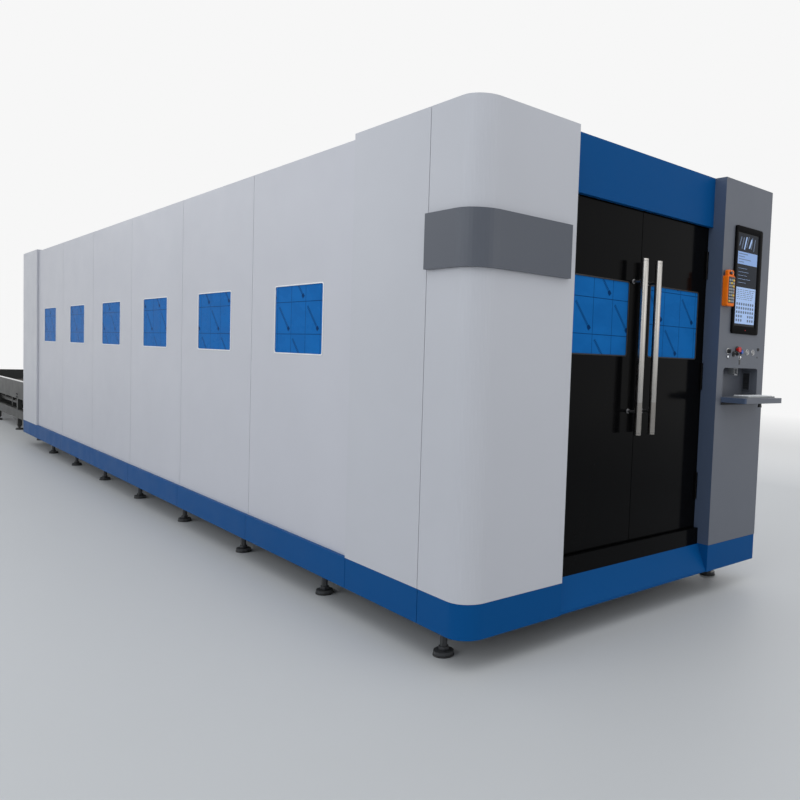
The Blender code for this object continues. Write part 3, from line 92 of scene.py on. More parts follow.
def add_camera():
    """The camera that the photograph was taken with."""
    data = bpy.data.cameras.new("camera")
    camera = bpy.data.objects.new("camera", data)
    bpy.context.scene.collection.objects.link(camera)
    data.sensor_width = 36.0
    data.lens = CAMERA_LENS
    data.shift_x, data.shift_y = CAMERA_SHIFT
    data.clip_start = 0.05
    data.clip_end = 200.0
    yaw, pitch, roll = (math.radians(angle) for angle in CAMERA_ANGLES)
    level = math.cos(pitch)
    forward = Vector((math.sin(yaw) * level, math.cos(yaw) * level, math.sin(pitch)))
    across = Vector((math.cos(yaw), -math.sin(yaw), 0.0))
    upward = across.cross(forward)
    right = math.cos(roll) * across + math.sin(roll) * upward
    up = math.cos(roll) * upward - math.sin(roll) * across
    turn = Matrix((right, up, -forward)).transposed().to_4x4()
    camera.matrix_world = Matrix.Translation(place(*CAMERA_PLACE)) @ turn
    bpy.context.scene.camera = camera


# Materials


class Nodes:
    """The nodes of a material or of the world, and short ways to join them."""

    def __init__(self, owner):
        owner.use_nodes = True
        self.tree = owner.node_tree

    def feed(self, node, values):
        """Sets a node's inputs to numbers and colours, or links other nodes' outputs to them."""
        for name, value in values.items():
            socket = node.inputs[name]
            if isinstance(value, bpy.types.NodeSocket):
                self.tree.links.new(value, socket)
            else:
                socket.default_value = (*value, 1.0) if socket.type == "RGBA" else value

    def node(self, kind, values, output, **settings):
        """A new node, fed with values. Gives one of its outputs."""
        made = self.tree.nodes.new("ShaderNode" + kind)
        for key, value in settings.items():
            setattr(made, key, value)
        self.feed(made, values)
        return made.outputs[output]

    def math(self, operation, first, second=0.0):
        return self.node("Math", {0: first, 1: second}, "Value", operation=operation)

    def looking(self):
        """1 for a ray from the camera, a reflection or a pane, and 0 for one that carries light."""
        camera, glossy, through = (
            self.node("LightPath", {}, f"Is {kind} Ray") for kind in ("Camera", "Glossy", "Transmission")
        )
        return self.math("MAXIMUM", camera, self.math("MAXIMUM", glossy, through))

    def blend(self, factor, first, second, output):
        """One shader over another, led to the output's surface."""
        both = self.node("MixShader", {0: factor, 1: first, 2: second}, 0)
        self.feed(self.tree.nodes[output], {"Surface": both})


class Finish(Nodes):
    """A material in the making: a Principled shader and short ways to feed it."""

    def __init__(self, name, colour, roughness, metallic=0.0, specular=0.5):
        self.material = bpy.data.materials.new(name)
        super().__init__(self.material)
        self.shader = self.tree.nodes["Principled BSDF"]
        self.colour = colour
        self.set({"Base Color": colour, "Roughness": roughness})
        self.set({"Metallic": metallic, "Specular IOR Level": specular})
        self.coordinates = self.node("TexCoord", {}, "Object")

    def set(self, values):
        self.feed(self.shader, values)

    def along(self, axis):
        """The object coordinate along X, Y or Z."""
        return self.node("SeparateXYZ", {0: self.coordinates}, axis)

    def stretched(self, scale):
        """Object coordinates scaled apart along x, y and z."""
        return self.node("Mapping", {"Scale": scale, "Vector": self.coordinates}, "Vector")

    def noise(self, scale, detail=2.0, vector=None, roughness=0.5):
        values = {"Scale": scale, "Detail": detail, "Roughness": roughness}
        return self.node("TexNoise", {**values, "Vector": vector or self.coordinates}, "Fac")

    def ramp(self, source, low, high, start=0.0, end=1.0):
        """A value spread from one number range to another."""
        values = {"Value": source, "From Min": low, "From Max": high, "To Min": start, "To Max": end}
        return self.node("MapRange", values, "Result")

    def plus(self, first, second):
        return self.math("ADD", first, second)

    def times(self, first, second):
        return self.math("MULTIPLY", first, second)

    def above(self, value, limit):
        return self.math("GREATER_THAN", value, limit)

    def below(self, value, limit):
        return self.math("LESS_THAN", value, limit)

    def within(self, value, low, high):
        return self.times(self.above(value, low), self.below(value, high))

    def vector(self, operation, first, second=(0.0, 0.0, 0.0), output="Vector"):
        return self.node("VectorMath", {0: first, 1: second}, output, operation=operation)

    def mix(self, factor, first, second):
        """A colour between two, each a tuple or a socket."""
        return self.node("Mix", {"Factor": factor, "A": first, "B": second}, "Result", data_type="RGBA")

    def colours(self, source):
        self.set({"Base Color": source})

    def wear(self, source, smooth, rough, low=0.3, high=0.7):
        """The roughness, from smooth to rough over the middle range of a noise."""
        self.set({"Roughness": self.ramp(source, low, high, smooth, rough)})

    def bump(self, height, strength, distance):
        values = {"Height": height, "Strength": strength, "Distance": distance}
        self.set({"Normal": self.node("Bump", values, "Normal")})

    def tint(self, factor, amount):
        """The base colour made a little darker and lighter by a factor from 0 to 1."""
        dark = tuple(value * (1.0 - amount) for value in self.colour)
        light = tuple(min(value * (1.0 + amount), 1.0) for value in self.colour)
        return self.mix(factor, dark, light)


def powder_coat(name, colour, roughness, grain=0.3, specular=0.5):
    """Sprayed and baked paint: a fine orange peel and faint cloudiness."""
    finish = Finish(name, colour, roughness, 0.0, specular)
    finish.colours(finish.tint(finish.noise(1.3, 3.0), 0.05))
    finish.wear(finish.noise(6.0, 4.0), roughness - 0.04, roughness + 0.05)
    finish.bump(finish.noise(900.0, 2.0), grain, 0.0004)
    return finish.material


def gloss_paint(name, colour, roughness, smear, specular):
    """Smooth dark paint, with wiped streaks that show mostly in its reflections."""
    finish = Finish(name, colour, roughness, 0.0, specular)
    streaks = finish.noise(5.0, 5.0, finish.stretched((1.0, 1.0, 0.35)), 0.6)
    finish.colours(finish.tint(streaks, 0.15))
    finish.wear(streaks, roughness, roughness + smear, 0.35, 0.75)
    finish.bump(finish.noise(3.0, 2.0), 0.15, 0.002)
    return finish.material


def brushed(name, colour, roughness, scale):
    """Metal with fine lines along the axis with the smallest scale."""
    finish = Finish(name, colour, roughness, 1.0)
    lines = finish.noise(260.0, 3.0, finish.stretched(scale), 0.6)
    both = finish.plus(finish.times(lines, 0.7), finish.times(finish.noise(9.0, 4.0), 0.3))
    finish.colours(finish.tint(both, 0.12))
    finish.wear(both, roughness - 0.06, roughness + 0.1)
    finish.bump(lines, 0.12, 0.0003)
    return finish.material


def rolled_steel(name, colour, roughness):
    """Bare hot rolled plate: mill scale with paler worn patches and a little rust."""
    finish = Finish(name, colour, roughness, 0.85)
    patches = finish.noise(7.0, 6.0, None, 0.65)
    worn = finish.mix(finish.ramp(patches, 0.42, 0.66), colour, (0.36, 0.33, 0.3))
    finish.colours(finish.mix(finish.ramp(finish.noise(3.1, 5.0), 0.6, 0.78), worn, (0.2, 0.105, 0.055)))
    finish.wear(patches, roughness - 0.08, roughness + 0.18)
    finish.bump(finish.noise(160.0, 3.0), 0.3, 0.0006)
    return finish.material


def moulded(name, colour, roughness, grain=0.25, specular=0.5):
    """Moulded plastic with a fine grain."""
    finish = Finish(name, colour, roughness, 0.0, specular)
    finish.colours(finish.tint(finish.noise(40.0, 3.0), 0.06))
    finish.wear(finish.noise(25.0, 3.0), roughness - 0.03, roughness + 0.05)
    finish.bump(finish.noise(1400.0, 2.0), grain, 0.0002)
    return finish.material


def glow(name, colour, strength):
    """A lit surface, such as a field of the display or a lamp."""
    finish = Finish(name, colour, 0.25, 0.0, 0.06)
    finish.colours(finish.tint(finish.noise(120.0, 1.0), 0.03))
    finish.set({"Emission Color": colour, "Emission Strength": strength})
    return finish.material


def film_finish():
    """Blue protective film: soft wrinkles, a fine grid and short slanted rows of dashes."""
    finish = Finish("blue_film", (0.02, 0.17, 0.52), 0.18, 0.0, 0.008)
    value, plus, times, within = finish.math, finish.plus, finish.times, finish.within
    x = finish.along("X")
    along = plus(x, times(finish.along("Y"), -1.0))
    upward = finish.along("Z")

    # The film lies a little differently on the right leaf and on the side windows
    wide, high = 0.14, 0.175
    right_leaf = finish.above(x, LEFT + DOOR_MIDDLE)
    upward = value("SUBTRACT", upward, times(right_leaf, 0.417 * high))
    side = finish.below(x, LEFT + 0.1)
    upward = plus(upward, times(side, 0.257 * high))
    along = times(along, value("SUBTRACT", 1.0, times(side, 0.1586)))

    def fields(operation, first=0, second=0):
        """The film's fields across and upwards: each one's number, or the share of it passed."""
        across = plus(times(along, 1.0 / wide), first + 0.532)
        return value(operation, across), value(operation, plus(times(upward, 1.0 / high), second + 0.8286))

    cell_x, cell_z = fields("FRACT")
    line_share = 0.02
    grid = value("MAXIMUM", finish.below(cell_x, line_share), finish.below(cell_z, line_share))

    # One slanted row of dashes in every second field, with a dot at its lower end
    odd = finish.above(value("MODULO", plus(*fields("FLOOR", 101, 100)), 2.0), 0.5)
    local_x = times(value("SUBTRACT", cell_x, 0.5), wide)
    local_z = times(value("SUBTRACT", cell_z, 0.5), high)

    def turned(first, second):
        """A point of the field measured along one of two slanted lines."""
        return plus(times(local_x, first), times(local_z, second))

    lean = math.radians(51.0)
    row_u = turned(math.cos(lean), -math.sin(lean))
    row_v = turned(math.sin(lean), math.cos(lean))
    row_start, row_end, dot_end = -0.082, 0.062, 0.082
    dashes = within(value("FRACT", times(row_u, 1.0 / 0.0092)), 0.2, 0.72)
    strip = times(within(row_v, -0.0075, 0.0075), within(row_u, row_start, row_end))
    dot = times(within(row_v, -0.011, 0.011), within(row_u, row_end, dot_end))
    mark = times(odd, value("MAXIMUM", times(strip, dashes), dot))

    wrinkle = finish.noise(5.5, 5.0, finish.stretched((1.0, 1.0, 1.9)), 0.55)
    cloud = finish.mix(wrinkle, (0.008, 0.122, 0.4), (0.014, 0.182, 0.55))
    gridded = finish.mix(times(grid, 0.85), cloud, (0.003, 0.026, 0.1))
    finish.colours(finish.mix(times(mark, 0.85), gridded, (0.003, 0.022, 0.09)))
    finish.wear(wrinkle, 0.2, 0.36)
    crease = finish.noise(11.0, 4.0, finish.stretched((1.0, 1.0, 0.45)), 0.6)
    finish.bump(plus(wrinkle, times(crease, 0.35)), 0.18, 0.004)
    return finish.material


def handle_finish():
    """Brushed tube, a little duller and browner on its lowest part."""
    finish = Finish("satin_steel_tube", (0.43, 0.415, 0.395), 0.28, 1.0)
    lines = finish.noise(260.0, 3.0, finish.stretched((1.0, 1.0, 0.04)), 0.6)
    low = finish.below(finish.along("Z"), 1.105)
    finish.colours(finish.mix(finish.times(low, 0.55), finish.tint(lines, 0.14), (0.27, 0.24, 0.21)))
    both = finish.plus(finish.times(lines, 0.6), finish.times(finish.noise(14.0, 4.0), 0.4))
    finish.wear(both, 0.2, 0.38)
    finish.bump(lines, 0.12, 0.0003)
    return finish.material


def screen_finish():
    """The display's glass: dark and very smooth."""
    finish = Finish("screen_glass", (0.008, 0.01, 0.014), 0.1, 0.0, 0.15)
    finish.wear(finish.noise(14.0, 4.0), 0.08, 0.16)
    return finish.material


# Each look by its kind: the material's name, its colour, then what its function takes
KINDS = (
    (powder_coat, {
        "white": ("white_powder_coat", (0.57, 0.576, 0.616), 0.38, 0.25, 0.35),
        "side_white": ("side_powder_coat", (0.585, 0.587, 0.632), 0.42, 0.25, 0.35),
        "grey": ("console_powder_coat", (0.14, 0.151, 0.179), 0.38, 0.25, 0.3),
        "blue": ("blue_powder_coat", (0.003, 0.078, 0.258), 0.38, 0.3, 0.05),
        "band": ("band_paint", (0.1, 0.11, 0.134), 0.33, 0.2, 0.3),
        "dark": ("dark_powder_coat", (0.03, 0.032, 0.036), 0.5),
        # Partly painted shade: darkened so that the bed frame's feet look as dark as in the shadow under the
        # machine
        "frame_grey": ("frame_paint", (0.055, 0.057, 0.06), 0.5, 0.3, 0.25),
        "table": ("table_paint", (0.04, 0.041, 0.039), 0.42, 0.3, 0.25),
        # Painted shade: a darker, bluer copy of the console grey for its shaded left side
        "painted_shade_grey": ("console_side_paint", (0.08, 0.108, 0.17), 0.36, 0.25, 0.2),
    }),
    (gloss_paint, {
        "black": ("black_gloss", (0.0028, 0.0028, 0.0031), 0.1, 0.06, 0.05),
    }),
    (moulded, {
        "rubber": ("black_rubber", (0.016, 0.016, 0.017), 0.7, 0.5),
        "plastic": ("black_plastic", (0.02, 0.021, 0.023), 0.42),
        "bezel": ("bezel_plastic", (0.003, 0.003, 0.0035), 0.3, 0.02, 0.02),
        "grey_plastic": ("grey_plastic", (0.3, 0.31, 0.32), 0.4),
        "white_plastic": ("white_plastic", (0.75, 0.76, 0.77), 0.35),
        "orange": ("orange_plastic", (0.92, 0.185, 0.006), 0.42, 0.25, 0.2),
        "red": ("red_plastic", (0.55, 0.012, 0.01), 0.28, 0.1),
        "yellow": ("yellow_plastic", (0.8, 0.52, 0.02), 0.35, 0.1),
        "blue_plastic": ("blue_plastic", (0.02, 0.1, 0.5), 0.26, 0.1),
        "trim_white": ("trim_white", (0.9, 0.89, 0.875), 0.45),
    }),
    (brushed, {
        "turned": ("turned_steel", (0.6, 0.6, 0.6), 0.26, (1.0, 0.1, 1.0)),
        "button": ("button_steel", (0.3, 0.3, 0.31), 0.34, (1.0, 1.0, 1.0)),
        "zinc": ("zinc_plate", (0.52, 0.53, 0.54), 0.36, (1.0, 1.0, 1.0)),
        "rail": ("ground_rail", (0.58, 0.585, 0.59), 0.2, (1.0, 0.03, 1.0)),
        "aluminium": ("cast_aluminium", (0.62, 0.63, 0.64), 0.38, (0.05, 1.0, 1.0)),
        "brass": ("copper_alloy", (0.62, 0.34, 0.14), 0.25, (1.0, 1.0, 0.2)),
    }),
    (rolled_steel, {
        "raw": ("mill_scale_steel", (0.13, 0.125, 0.12), 0.5),
        "cut_edge": ("cut_steel", (0.2, 0.19, 0.18), 0.45),
    }),
    (glow, {
        "screen_light": ("screen_light", (0.2, 0.3, 0.52), 0.55),
        "screen_pale": ("screen_pale", (0.29, 0.4, 0.62), 0.55),
        "screen_dark": ("screen_dark", (0.02, 0.023, 0.03), 0.3),
        "screen_mid": ("screen_mid", (0.11, 0.14, 0.2), 0.4),
        "lamp": ("lamp_white", (0.9, 0.92, 0.95), 0.35),
        "strip": ("strip_light", (0.88, 0.94, 1.0), 1.3),
    }),
)
LOOK = {look: make(*values) for make, rows in KINDS for look, values in rows.items()}
LOOK["steel"] = handle_finish()
LOOK["film"] = film_finish()
LOOK["screen"] = screen_finish()

# Which finish each CAD node takes
FINISHES = {
    "white": ["corner_block", "front_section_left", "rear_corner_left", "rear_wall"],
    "side_white": [f"side_panel_left_{n}" for n in range(1, 7)] + [f"side_panel_right_{n}" for n in (1, 2)],
    "grey": ["console_body", "keyboard_flap", "rear_gate"],
    "blue": ["skirt_corner", "skirt_left", "skirt_right", "header", "apron", "console_base"],
    "band": ["corner_band"],
    "black": ["door_frame", "door_left", "door_right", "kick_plate"],
    "dark": ["roof_panel_1", "roof_panel_2", "enclosure_frame", "table_drive_motor"],
    "steel": ["door_handle_left", "door_handle_right"],
    "film": ["door_window_left", "door_window_right"] + [f"side_window_{n}" for n in range(1, 7)],
    "screen": ["monitor_screen"],
    "bezel": ["monitor_bezel"],
    "plastic": ["flap_knob", "selector_switch", "key_switch"],
    "orange": ["pendant"],
    "red": ["e_stop"],
    "blue_plastic": ["blue_button"],
    "button": ["steel_button_left", "steel_button_right"],
    "rail": ["rail_left", "rail_right"],
    "aluminium": ["gantry", "carriage", "cutting_head"],
    "raw": ["pallet_upper", "pallet_lower"],
    "frame_grey": ["bed_frame"],
    "table": ["exchange_frame", "lift_frame"],
}

# Which looks each of the record's material slots takes
SLOT_LOOKS = {
    "white_paint": ("white", "trim_white"),
    "grey_paint": ("grey",),
    "blue_paint": ("blue",),
    "black_plastic": ("plastic", "rubber", "bezel", "grey_plastic", "white_plastic"),
    "red_plastic": ("red",),
    "orange_plastic": ("orange", "yellow"),
    "satin_steel": ("steel", "turned", "button", "zinc", "rail", "lamp"),
    "dark_steel": ("dark", "frame_grey"),
    "raw_steel": ("raw", "cut_edge"),
    "aluminium": ("brass", "strip"),
    "screen_glass": ("screen", "screen_light", "screen_pale", "screen_dark", "screen_mid"),
}
SLOT_OF = {look: slot for slot, looks in SLOT_LOOKS.items() for look in looks}


def dress_frame():
    """Gives every CAD node its finish."""
    for look, names in FINISHES.items():
        for name in names:
            node = NODES[name]
            node.data.materials.clear()
            node.data.materials.append(LOOK[look])
            for face in node.data.polygons:
                face.material_index = 0


def paint_console_shade():
    """Painted shade on the console's left side and the flap's left edge: a copy of the grey, darker and bluer
    than on the front.
    """
    for name in ("console_body", "keyboard_flap"):
        node = NODES[name]
        node.data.materials.append(LOOK["painted_shade_grey"])
        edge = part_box(name)[0].x + 0.012
        for face in node.data.polygons:
            if face.normal.x < -0.5 and face.center.x < edge:
                face.material_index = 1


# Making meshes

# Edges that turn less than this are shaded smooth
SMOOTH_LIMIT = math.radians(35.0)


def turned_to(axis):
    """The matrix that turns +Z to an axis given as a vector."""
    return Vector(UP).rotation_difference(Vector(axis)).to_matrix().to_4x4()


def turns(count):
    """Evenly spaced angles round a circle."""
    return [2 * math.pi * step / count for step in range(count)]


def circle(radius, height, sides):
    """The corners of a circle round the z axis."""
    return [Vector((radius * math.cos(a), radius * math.sin(a), height)) for a in turns(sides)]


def spread(point, axis, level):
    """A point of an outline, lifted to its level along an axis."""
    first, second = point
    return {"x": (level, first, second), "y": (first, level, second), "z": (first, second, level)}[axis]


def rounded(low, high, radius, steps=6):
    """The outline of a rectangle with round corners, from its two opposite corners."""
    (a0, b0), (a1, b1) = (low[0] + radius, low[1] + radius), (high[0] - radius, high[1] - radius)
    outline = []
    for quarter, (a, b) in enumerate(((a1, b1), (a0, b1), (a0, b0), (a1, b0))):
        for step in range(steps + 1):
            angle = math.pi / 2 * (quarter + step / steps)
            outline.append((a + radius * math.cos(angle), b + radius * math.sin(angle)))
    return outline


def hexagon(x, y, radius):
    return [(x + radius * math.cos(a), y + radius * math.sin(a)) for a in turns(6)]


class Piece:
    """One visible piece in the making, of closed shapes in the enclosure's own coordinates."""

    def __init__(self):
        self.mesh = bmesh.new()

    def hull(self, corners, faces, bevel=0.0, segments=2):
        """A closed shape from its corners and faces, with its edges rounded if asked."""
        part = bmesh.new()
        made = [part.verts.new(corner) for corner in corners]
        for face in faces:
            part.faces.new([made[index] for index in face])
        bmesh.ops.recalc_face_normals(part, faces=part.faces[:])
        if bevel:
            sharp = [edge for edge in part.edges if edge.calc_face_angle(0.0) > 0.5]
            shape = {"profile": 0.5, "affect": "EDGES", "clamp_overlap": True}
            bmesh.ops.bevel(part, geom=sharp, offset=bevel, segments=segments, **shape)
        spare = bpy.data.meshes.new("spare")
        part.to_mesh(spare)
        part.free()
        self.mesh.from_mesh(spare)
        bpy.data.meshes.remove(spare)
        return self

    def box(self, low, high, bevel=0.0, segments=2):
        (x0, y0, z0), (x1, y1, z1) = low, high
        corners = [(x, y, z) for z in (z0, z1) for y in (y0, y1) for x in (x0, x1)]
        faces = [(0, 1, 3, 2), (4, 5, 7, 6), (0, 1, 5, 4), (2, 3, 7, 6), (0, 2, 6, 4), (1, 3, 7, 5)]
        return self.hull(corners, faces, bevel, segments)

    def slab(self, outline, axis, start, end, bevel=0.0, segments=2):
        """An outline pushed along x, y or z."""
        count = len(outline)
        corners = [spread(point, axis, level) for level in (start, end) for point in outline]
        faces = [tuple(range(count)), tuple(range(2 * count - 1, count - 1, -1))]
        faces += [(i, (i + 1) % count, count + (i + 1) % count, count + i) for i in range(count)]
        return self.hull(corners, faces, bevel, segments)

    def rim(self, outer, inner, axis, start, end, bevel=0.0):
        """A ring between two outlines with the same number of points, pushed along an axis."""
        count = len(outer)
        corners = []
        for outline in (outer, inner):
            for level in (start, end):
                corners += [spread(point, axis, level) for point in outline]
        faces = []
        for i in range(count):
            j = (i + 1) % count
            faces.append((i, j, count + j, count + i))
            faces.append((2 * count + j, 2 * count + i, 3 * count + i, 3 * count + j))
            faces.append((i, 2 * count + i, 2 * count + j, j))
            faces.append((count + i, count + j, 3 * count + j, 3 * count + i))
        return self.hull(corners, faces, bevel)

    def skin(self, rings, closed=False):
        """A shape through rings of corners, or a single point at an end, with flat ends unless closed."""
        corners = []
        numbers = []
        for ring in rings:
            numbers.append(range(len(corners), len(corners) + len(ring)))
            corners += ring
        faces = []
        for low, high in zip(numbers, numbers[1:] + numbers[:1] * closed):
            sides = max(len(low), len(high))
            for side in range(sides):
                after = (side + 1) % sides
                if len(low) == 1:
                    faces.append((low[0], high[side], high[after]))
                elif len(high) == 1:
                    faces.append((low[side], low[after], high[0]))
                else:
                    faces.append((low[side], low[after], high[after], high[side]))
        faces += [tuple(ring) for ring in (numbers[0], numbers[-1]) if len(ring) > 1 and not closed]
        return self.hull(corners, faces)

    def lathe(self, base, axis, profile, sides=32, closed=False):
        """A turned shape: its profile is (radius, height) pairs along the axis from its base."""
        turn = Matrix.Translation(Vector(base)) @ turned_to(axis)
        rings = [circle(radius, height, sides if radius else 1) for radius, height in profile]
        return self.skin([[turn @ corner for corner in ring] for ring in rings], closed)

    def rod(self, start, end, radius, edge=0.0, sides=24):
        """A round bar with its ends' edges broken by a small chamfer."""
        start, end = Vector(start), Vector(end)
        length = (end - start).length
        edge = min(edge, radius / 2, length / 3)
        profile = [(radius - edge, 0.0), (radius, edge), (radius, length - edge), (radius - edge, length)]
        if not edge:
            profile = [(radius, 0.0), (radius, length)]
        return self.lathe(start, end - start, profile, sides)

    def loop(self, points, radius, sides=8):
        """A round bar along a closed line of points."""
        rings = []
        normal = None
        for index, point in enumerate(points):
            along = (points[(index + 1) % len(points)] - points[index - 1]).normalized()
            if normal is None:
                normal = along.orthogonal().normalized()
            normal = (normal - normal.dot(along) * along).normalized()
            side = along.cross(normal)
            rings.append([point + radius * (math.cos(a) * normal + math.sin(a) * side) for a in turns(sides)])
        return self.skin(rings, True)

    def put(self, name, look, body=ROOT, slot=None):
        """Ends the piece: places it, gives it its finish and lets it ride on a body."""
        bmesh.ops.remove_doubles(self.mesh, verts=self.mesh.verts[:], dist=1e-6)
        for vertex in self.mesh.verts:
            vertex.co = place(*vertex.co)
        for face in self.mesh.faces:
            face.smooth = True
        for edge in self.mesh.edges:
            edge.smooth = edge.calc_face_angle(0.0) < SMOOTH_LIMIT
        data = bpy.data.meshes.new(name)
        self.mesh.to_mesh(data)
        self.mesh.free()
        data.materials.append(LOOK[look])
        made = bpy.data.objects.new(name, data)
        bpy.context.scene.collection.objects.link(made)
        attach(made, body)
        slot or SLOT_OF[look]
        return made


# Operator console, in places measured on the enclosure


def build_monitor():
    """The display's slim black frame and glass, a centimetre proud of the console."""
    outer = rounded((1.86, 1.49), (2.146, 2.096), 0.014, 8)
    inner = rounded((1.884, 1.535), (2.101, 2.06), 0.003, 8)
    made = Piece().rim(outer, inner, "y", -0.0105, -0.0003, 0.0015).put("monitor_frame", "bezel")
    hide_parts("monitor_bezel")
    pane = rounded((1.8842, 1.5352), (2.1008, 2.0598), 0.003, 8)
    made = Piece().slab(pane, "y", SCREEN_FACE, -0.004).put("monitor_glass", "screen")
    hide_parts("monitor_screen")


def build_display():
    """The pages on the display: a picture, a plot, tables and icons, all without words."""
    left, right = 1.889, 2.096
    front = SCREEN_FACE - 0.0004
    raised = front - 0.0002
    for name, look, levels in (
        ("screen_table", "screen_pale", [(1.548, 1.754)]),
        ("screen_panel", "screen_light", [(1.884, 1.954)]),
        ("screen_plot", "screen_dark", [(1.76, 1.878), (1.96, 2.054)]),
    ):
        page = Piece()
        for low, high in levels:
            page.box((left, front, low), (right, SCREEN_FACE, high))
        page.put(name, look)

    chance = random.Random(11)
    bright = Piece()
    marks = Piece()
    # The picture: slanted parts on the dark field
    for step in range(7):
        x = left + 0.006 + step * 0.0255
        width = 0.006 + 0.008 * chance.random()
        lean = 0.01 + 0.016 * chance.random()
        low, high = 1.966 + 0.02 * chance.random(), 2.046 - 0.02 * chance.random()
        outline = [(x, low), (x + width, low), (x + width + lean, high), (x + lean, high)]
        target = bright if step in (2, 4) else marks
        target.slab(outline, "y", raised, front)
    # The plot: a few lines of its list
    for step in range(5):
        z = 1.78 + step * 0.02
        end = left + 0.012 + 0.03 + 0.12 * chance.random()
        bright.box((left + 0.012, raised, z), (end, front, z + 0.0012))
    # Rows of a table, then a block of icons
    for step in range(6):
        z = 1.742 - step * 0.0105
        x = left + 0.008
        while x < right - 0.03:
            width = 0.01 + 0.022 * chance.random()
            marks.box((x, raised, z - 0.0032), (x + width, front, z))
            x += width + 0.008
    for row in range(5):
        for column in range(8):
            if column in (3, 4) and row > 2:
                continue
            x = left + 0.008 + column * 0.0243
            z = 1.667 - row * 0.0232
            marks.slab(rounded((x, z - 0.014), (x + 0.015, z), 0.003, 2), "y", raised, front)
    # The bars of the panel
    for step in range(4):
        z = 1.944 - step * 0.015
        end = left + 0.05 + 0.12 * chance.random()
        marks.box((left + 0.008, raised, z - 0.004), (end, front, z))
    bright.put("screen_lines", "screen_pale")
    marks.put("screen_marks", "screen_mid")

    light = Piece().rod((2.004, -0.01, 1.512), (2.004, -0.0115, 1.512), 0.0028, 0.0004, 16)
    light.put("monitor_light", "red")


def switch_ring(name, look, x, z, outer, inner, front):
    """A flat ring on the console's face with a rounded front edge."""
    depth = -CLEAR - front
    edge = min(0.001, depth / 3)
    profile = [(outer, 0.0), (outer, depth - edge), (outer - edge, depth)]
    profile += [(inner + edge, depth), (inner, depth - edge), (inner, 0.0)]
    Piece().lathe((x, -CLEAR, z), FORWARD, profile, 28, True).put(name, look)


def build_controls():
    """Rings behind the switches and buttons, two white lamps, a port and the key's tag."""
    height = 1.388
    switch_ring("selector_ring", "turned", 1.849, height, 0.0165, 0.0127, -0.0035)
    switch_ring("key_ring_plate", "plastic", 1.91, height - 0.014, 0.0165, 0.0127, -0.0035)
    switch_ring("stop_ring", "plastic", 1.944, height + 0.012, 0.02, 0.01, -0.002)
    switch_ring("blue_button_ring", "plastic", 1.989, height, 0.0165, 0.013, -0.004)
    for number, x in enumerate((2.055, 2.117), 1):
        switch_ring(f"steel_button_ring_{number}", "turned", x, height, 0.017, 0.014, -0.003)
    lens = [(0.007, 0.0), (0.0068, 0.0022), (0.005, 0.0038), (0.0, 0.0046)]
    for number, x in enumerate((1.851, 1.984), 1):
        z = height - 0.031
        switch_ring(f"lamp_ring_{number}", "plastic", x, z, 0.0105, 0.0072, -0.003)
        Piece().lathe((x, -CLEAR, z), FORWARD, lens, 20).put(f"lamp_{number}", "lamp")
    port = rounded((2.164, 1.3985), (2.19, 1.4165), 0.0088, 6)
    Piece().slab(port, "y", -0.0018, -CLEAR, 0.0006).put("port_cover", "rubber")
    plug = Piece().rod((2.17, -CLEAR, 1.361), (2.17, -0.0012, 1.361), 0.0055, 0.0005, 20)
    plug.put("small_plug", "frame_grey")

    # The key's split ring and tag, which hang from its bow
    centre = Vector((1.91, -0.0405, 1.3535))
    points = [centre + Vector((0.009 * math.cos(a), 0.0, 0.009 * math.sin(a))) for a in turns(20)]
    Piece().loop(points, 0.0009).put("key_loop", "turned", "key_switch")
    tag = rounded((1.9035, 1.314), (1.9165, 1.3435), 0.004, 4)
    Piece().slab(tag, "y", -0.0418, -0.0396, 0.0007).put("key_tag", "plastic", "key_switch")


def build_niche():
    """The keyboard recess: its back, a slotted cover, a cable holder, a black strip under the flap and a thin
    lip.
    """
    back, wall = 0.096, 2.1829
    Piece().box((1.8133, back, 1.1003), (2.1827, back + 0.004, 1.2937), 0.001).put("niche_back", "grey")
    outer = rounded((0.044, 1.16), (0.0955, 1.27), 0.005, 4)
    inner = rounded((0.05, 1.166), (0.0915, 1.264), 0.003, 4)
    Piece().rim(outer, inner, "x", wall - 0.004, wall, 0.0008).put("niche_cover_rim", "grey")
    sheet = wall - 0.0012
    grille = Piece().box((sheet, 0.05, 1.166), (wall, 0.0915, 1.264))
    for step in range(8):
        z = 1.172 + step * 0.0112
        louvre = [(sheet, z), (wall - 0.0034, z + 0.001), (sheet, z + 0.005)]
        grille.slab(louvre, "y", 0.0505, 0.091)
    grille.put("niche_grille", "dark")
    holder = Piece().box((1.975, 0.035, 1.2875), (2.03, 0.085, 1.2937), 0.001)
    for x in (1.983, 2.016):
        holder.box((x, 0.035, 1.255), (x + 0.006, 0.075, 1.288), 0.001)
    holder.box((1.983, 0.035, 1.251), (2.022, 0.041, 1.26), 0.001)
    holder.put("cable_holder", "grey_plastic")
    # A black strip on the console's face along the underside of the flap
    Piece().box((1.803, -0.01, 1.0845), (2.185, -0.0002, 1.0985), 0.002).put("flap_dark_strip", "rubber")
    outer = rounded((1.8085, 1.1315), (2.1875, 1.2985), 0.0235, 6)
    inner = rounded((1.813, 1.132), (2.183, 1.294), 0.02, 6)
    Piece().rim(outer, inner, "y", -0.0006, -CLEAR, 0.0002).put("niche_lip", "grey")


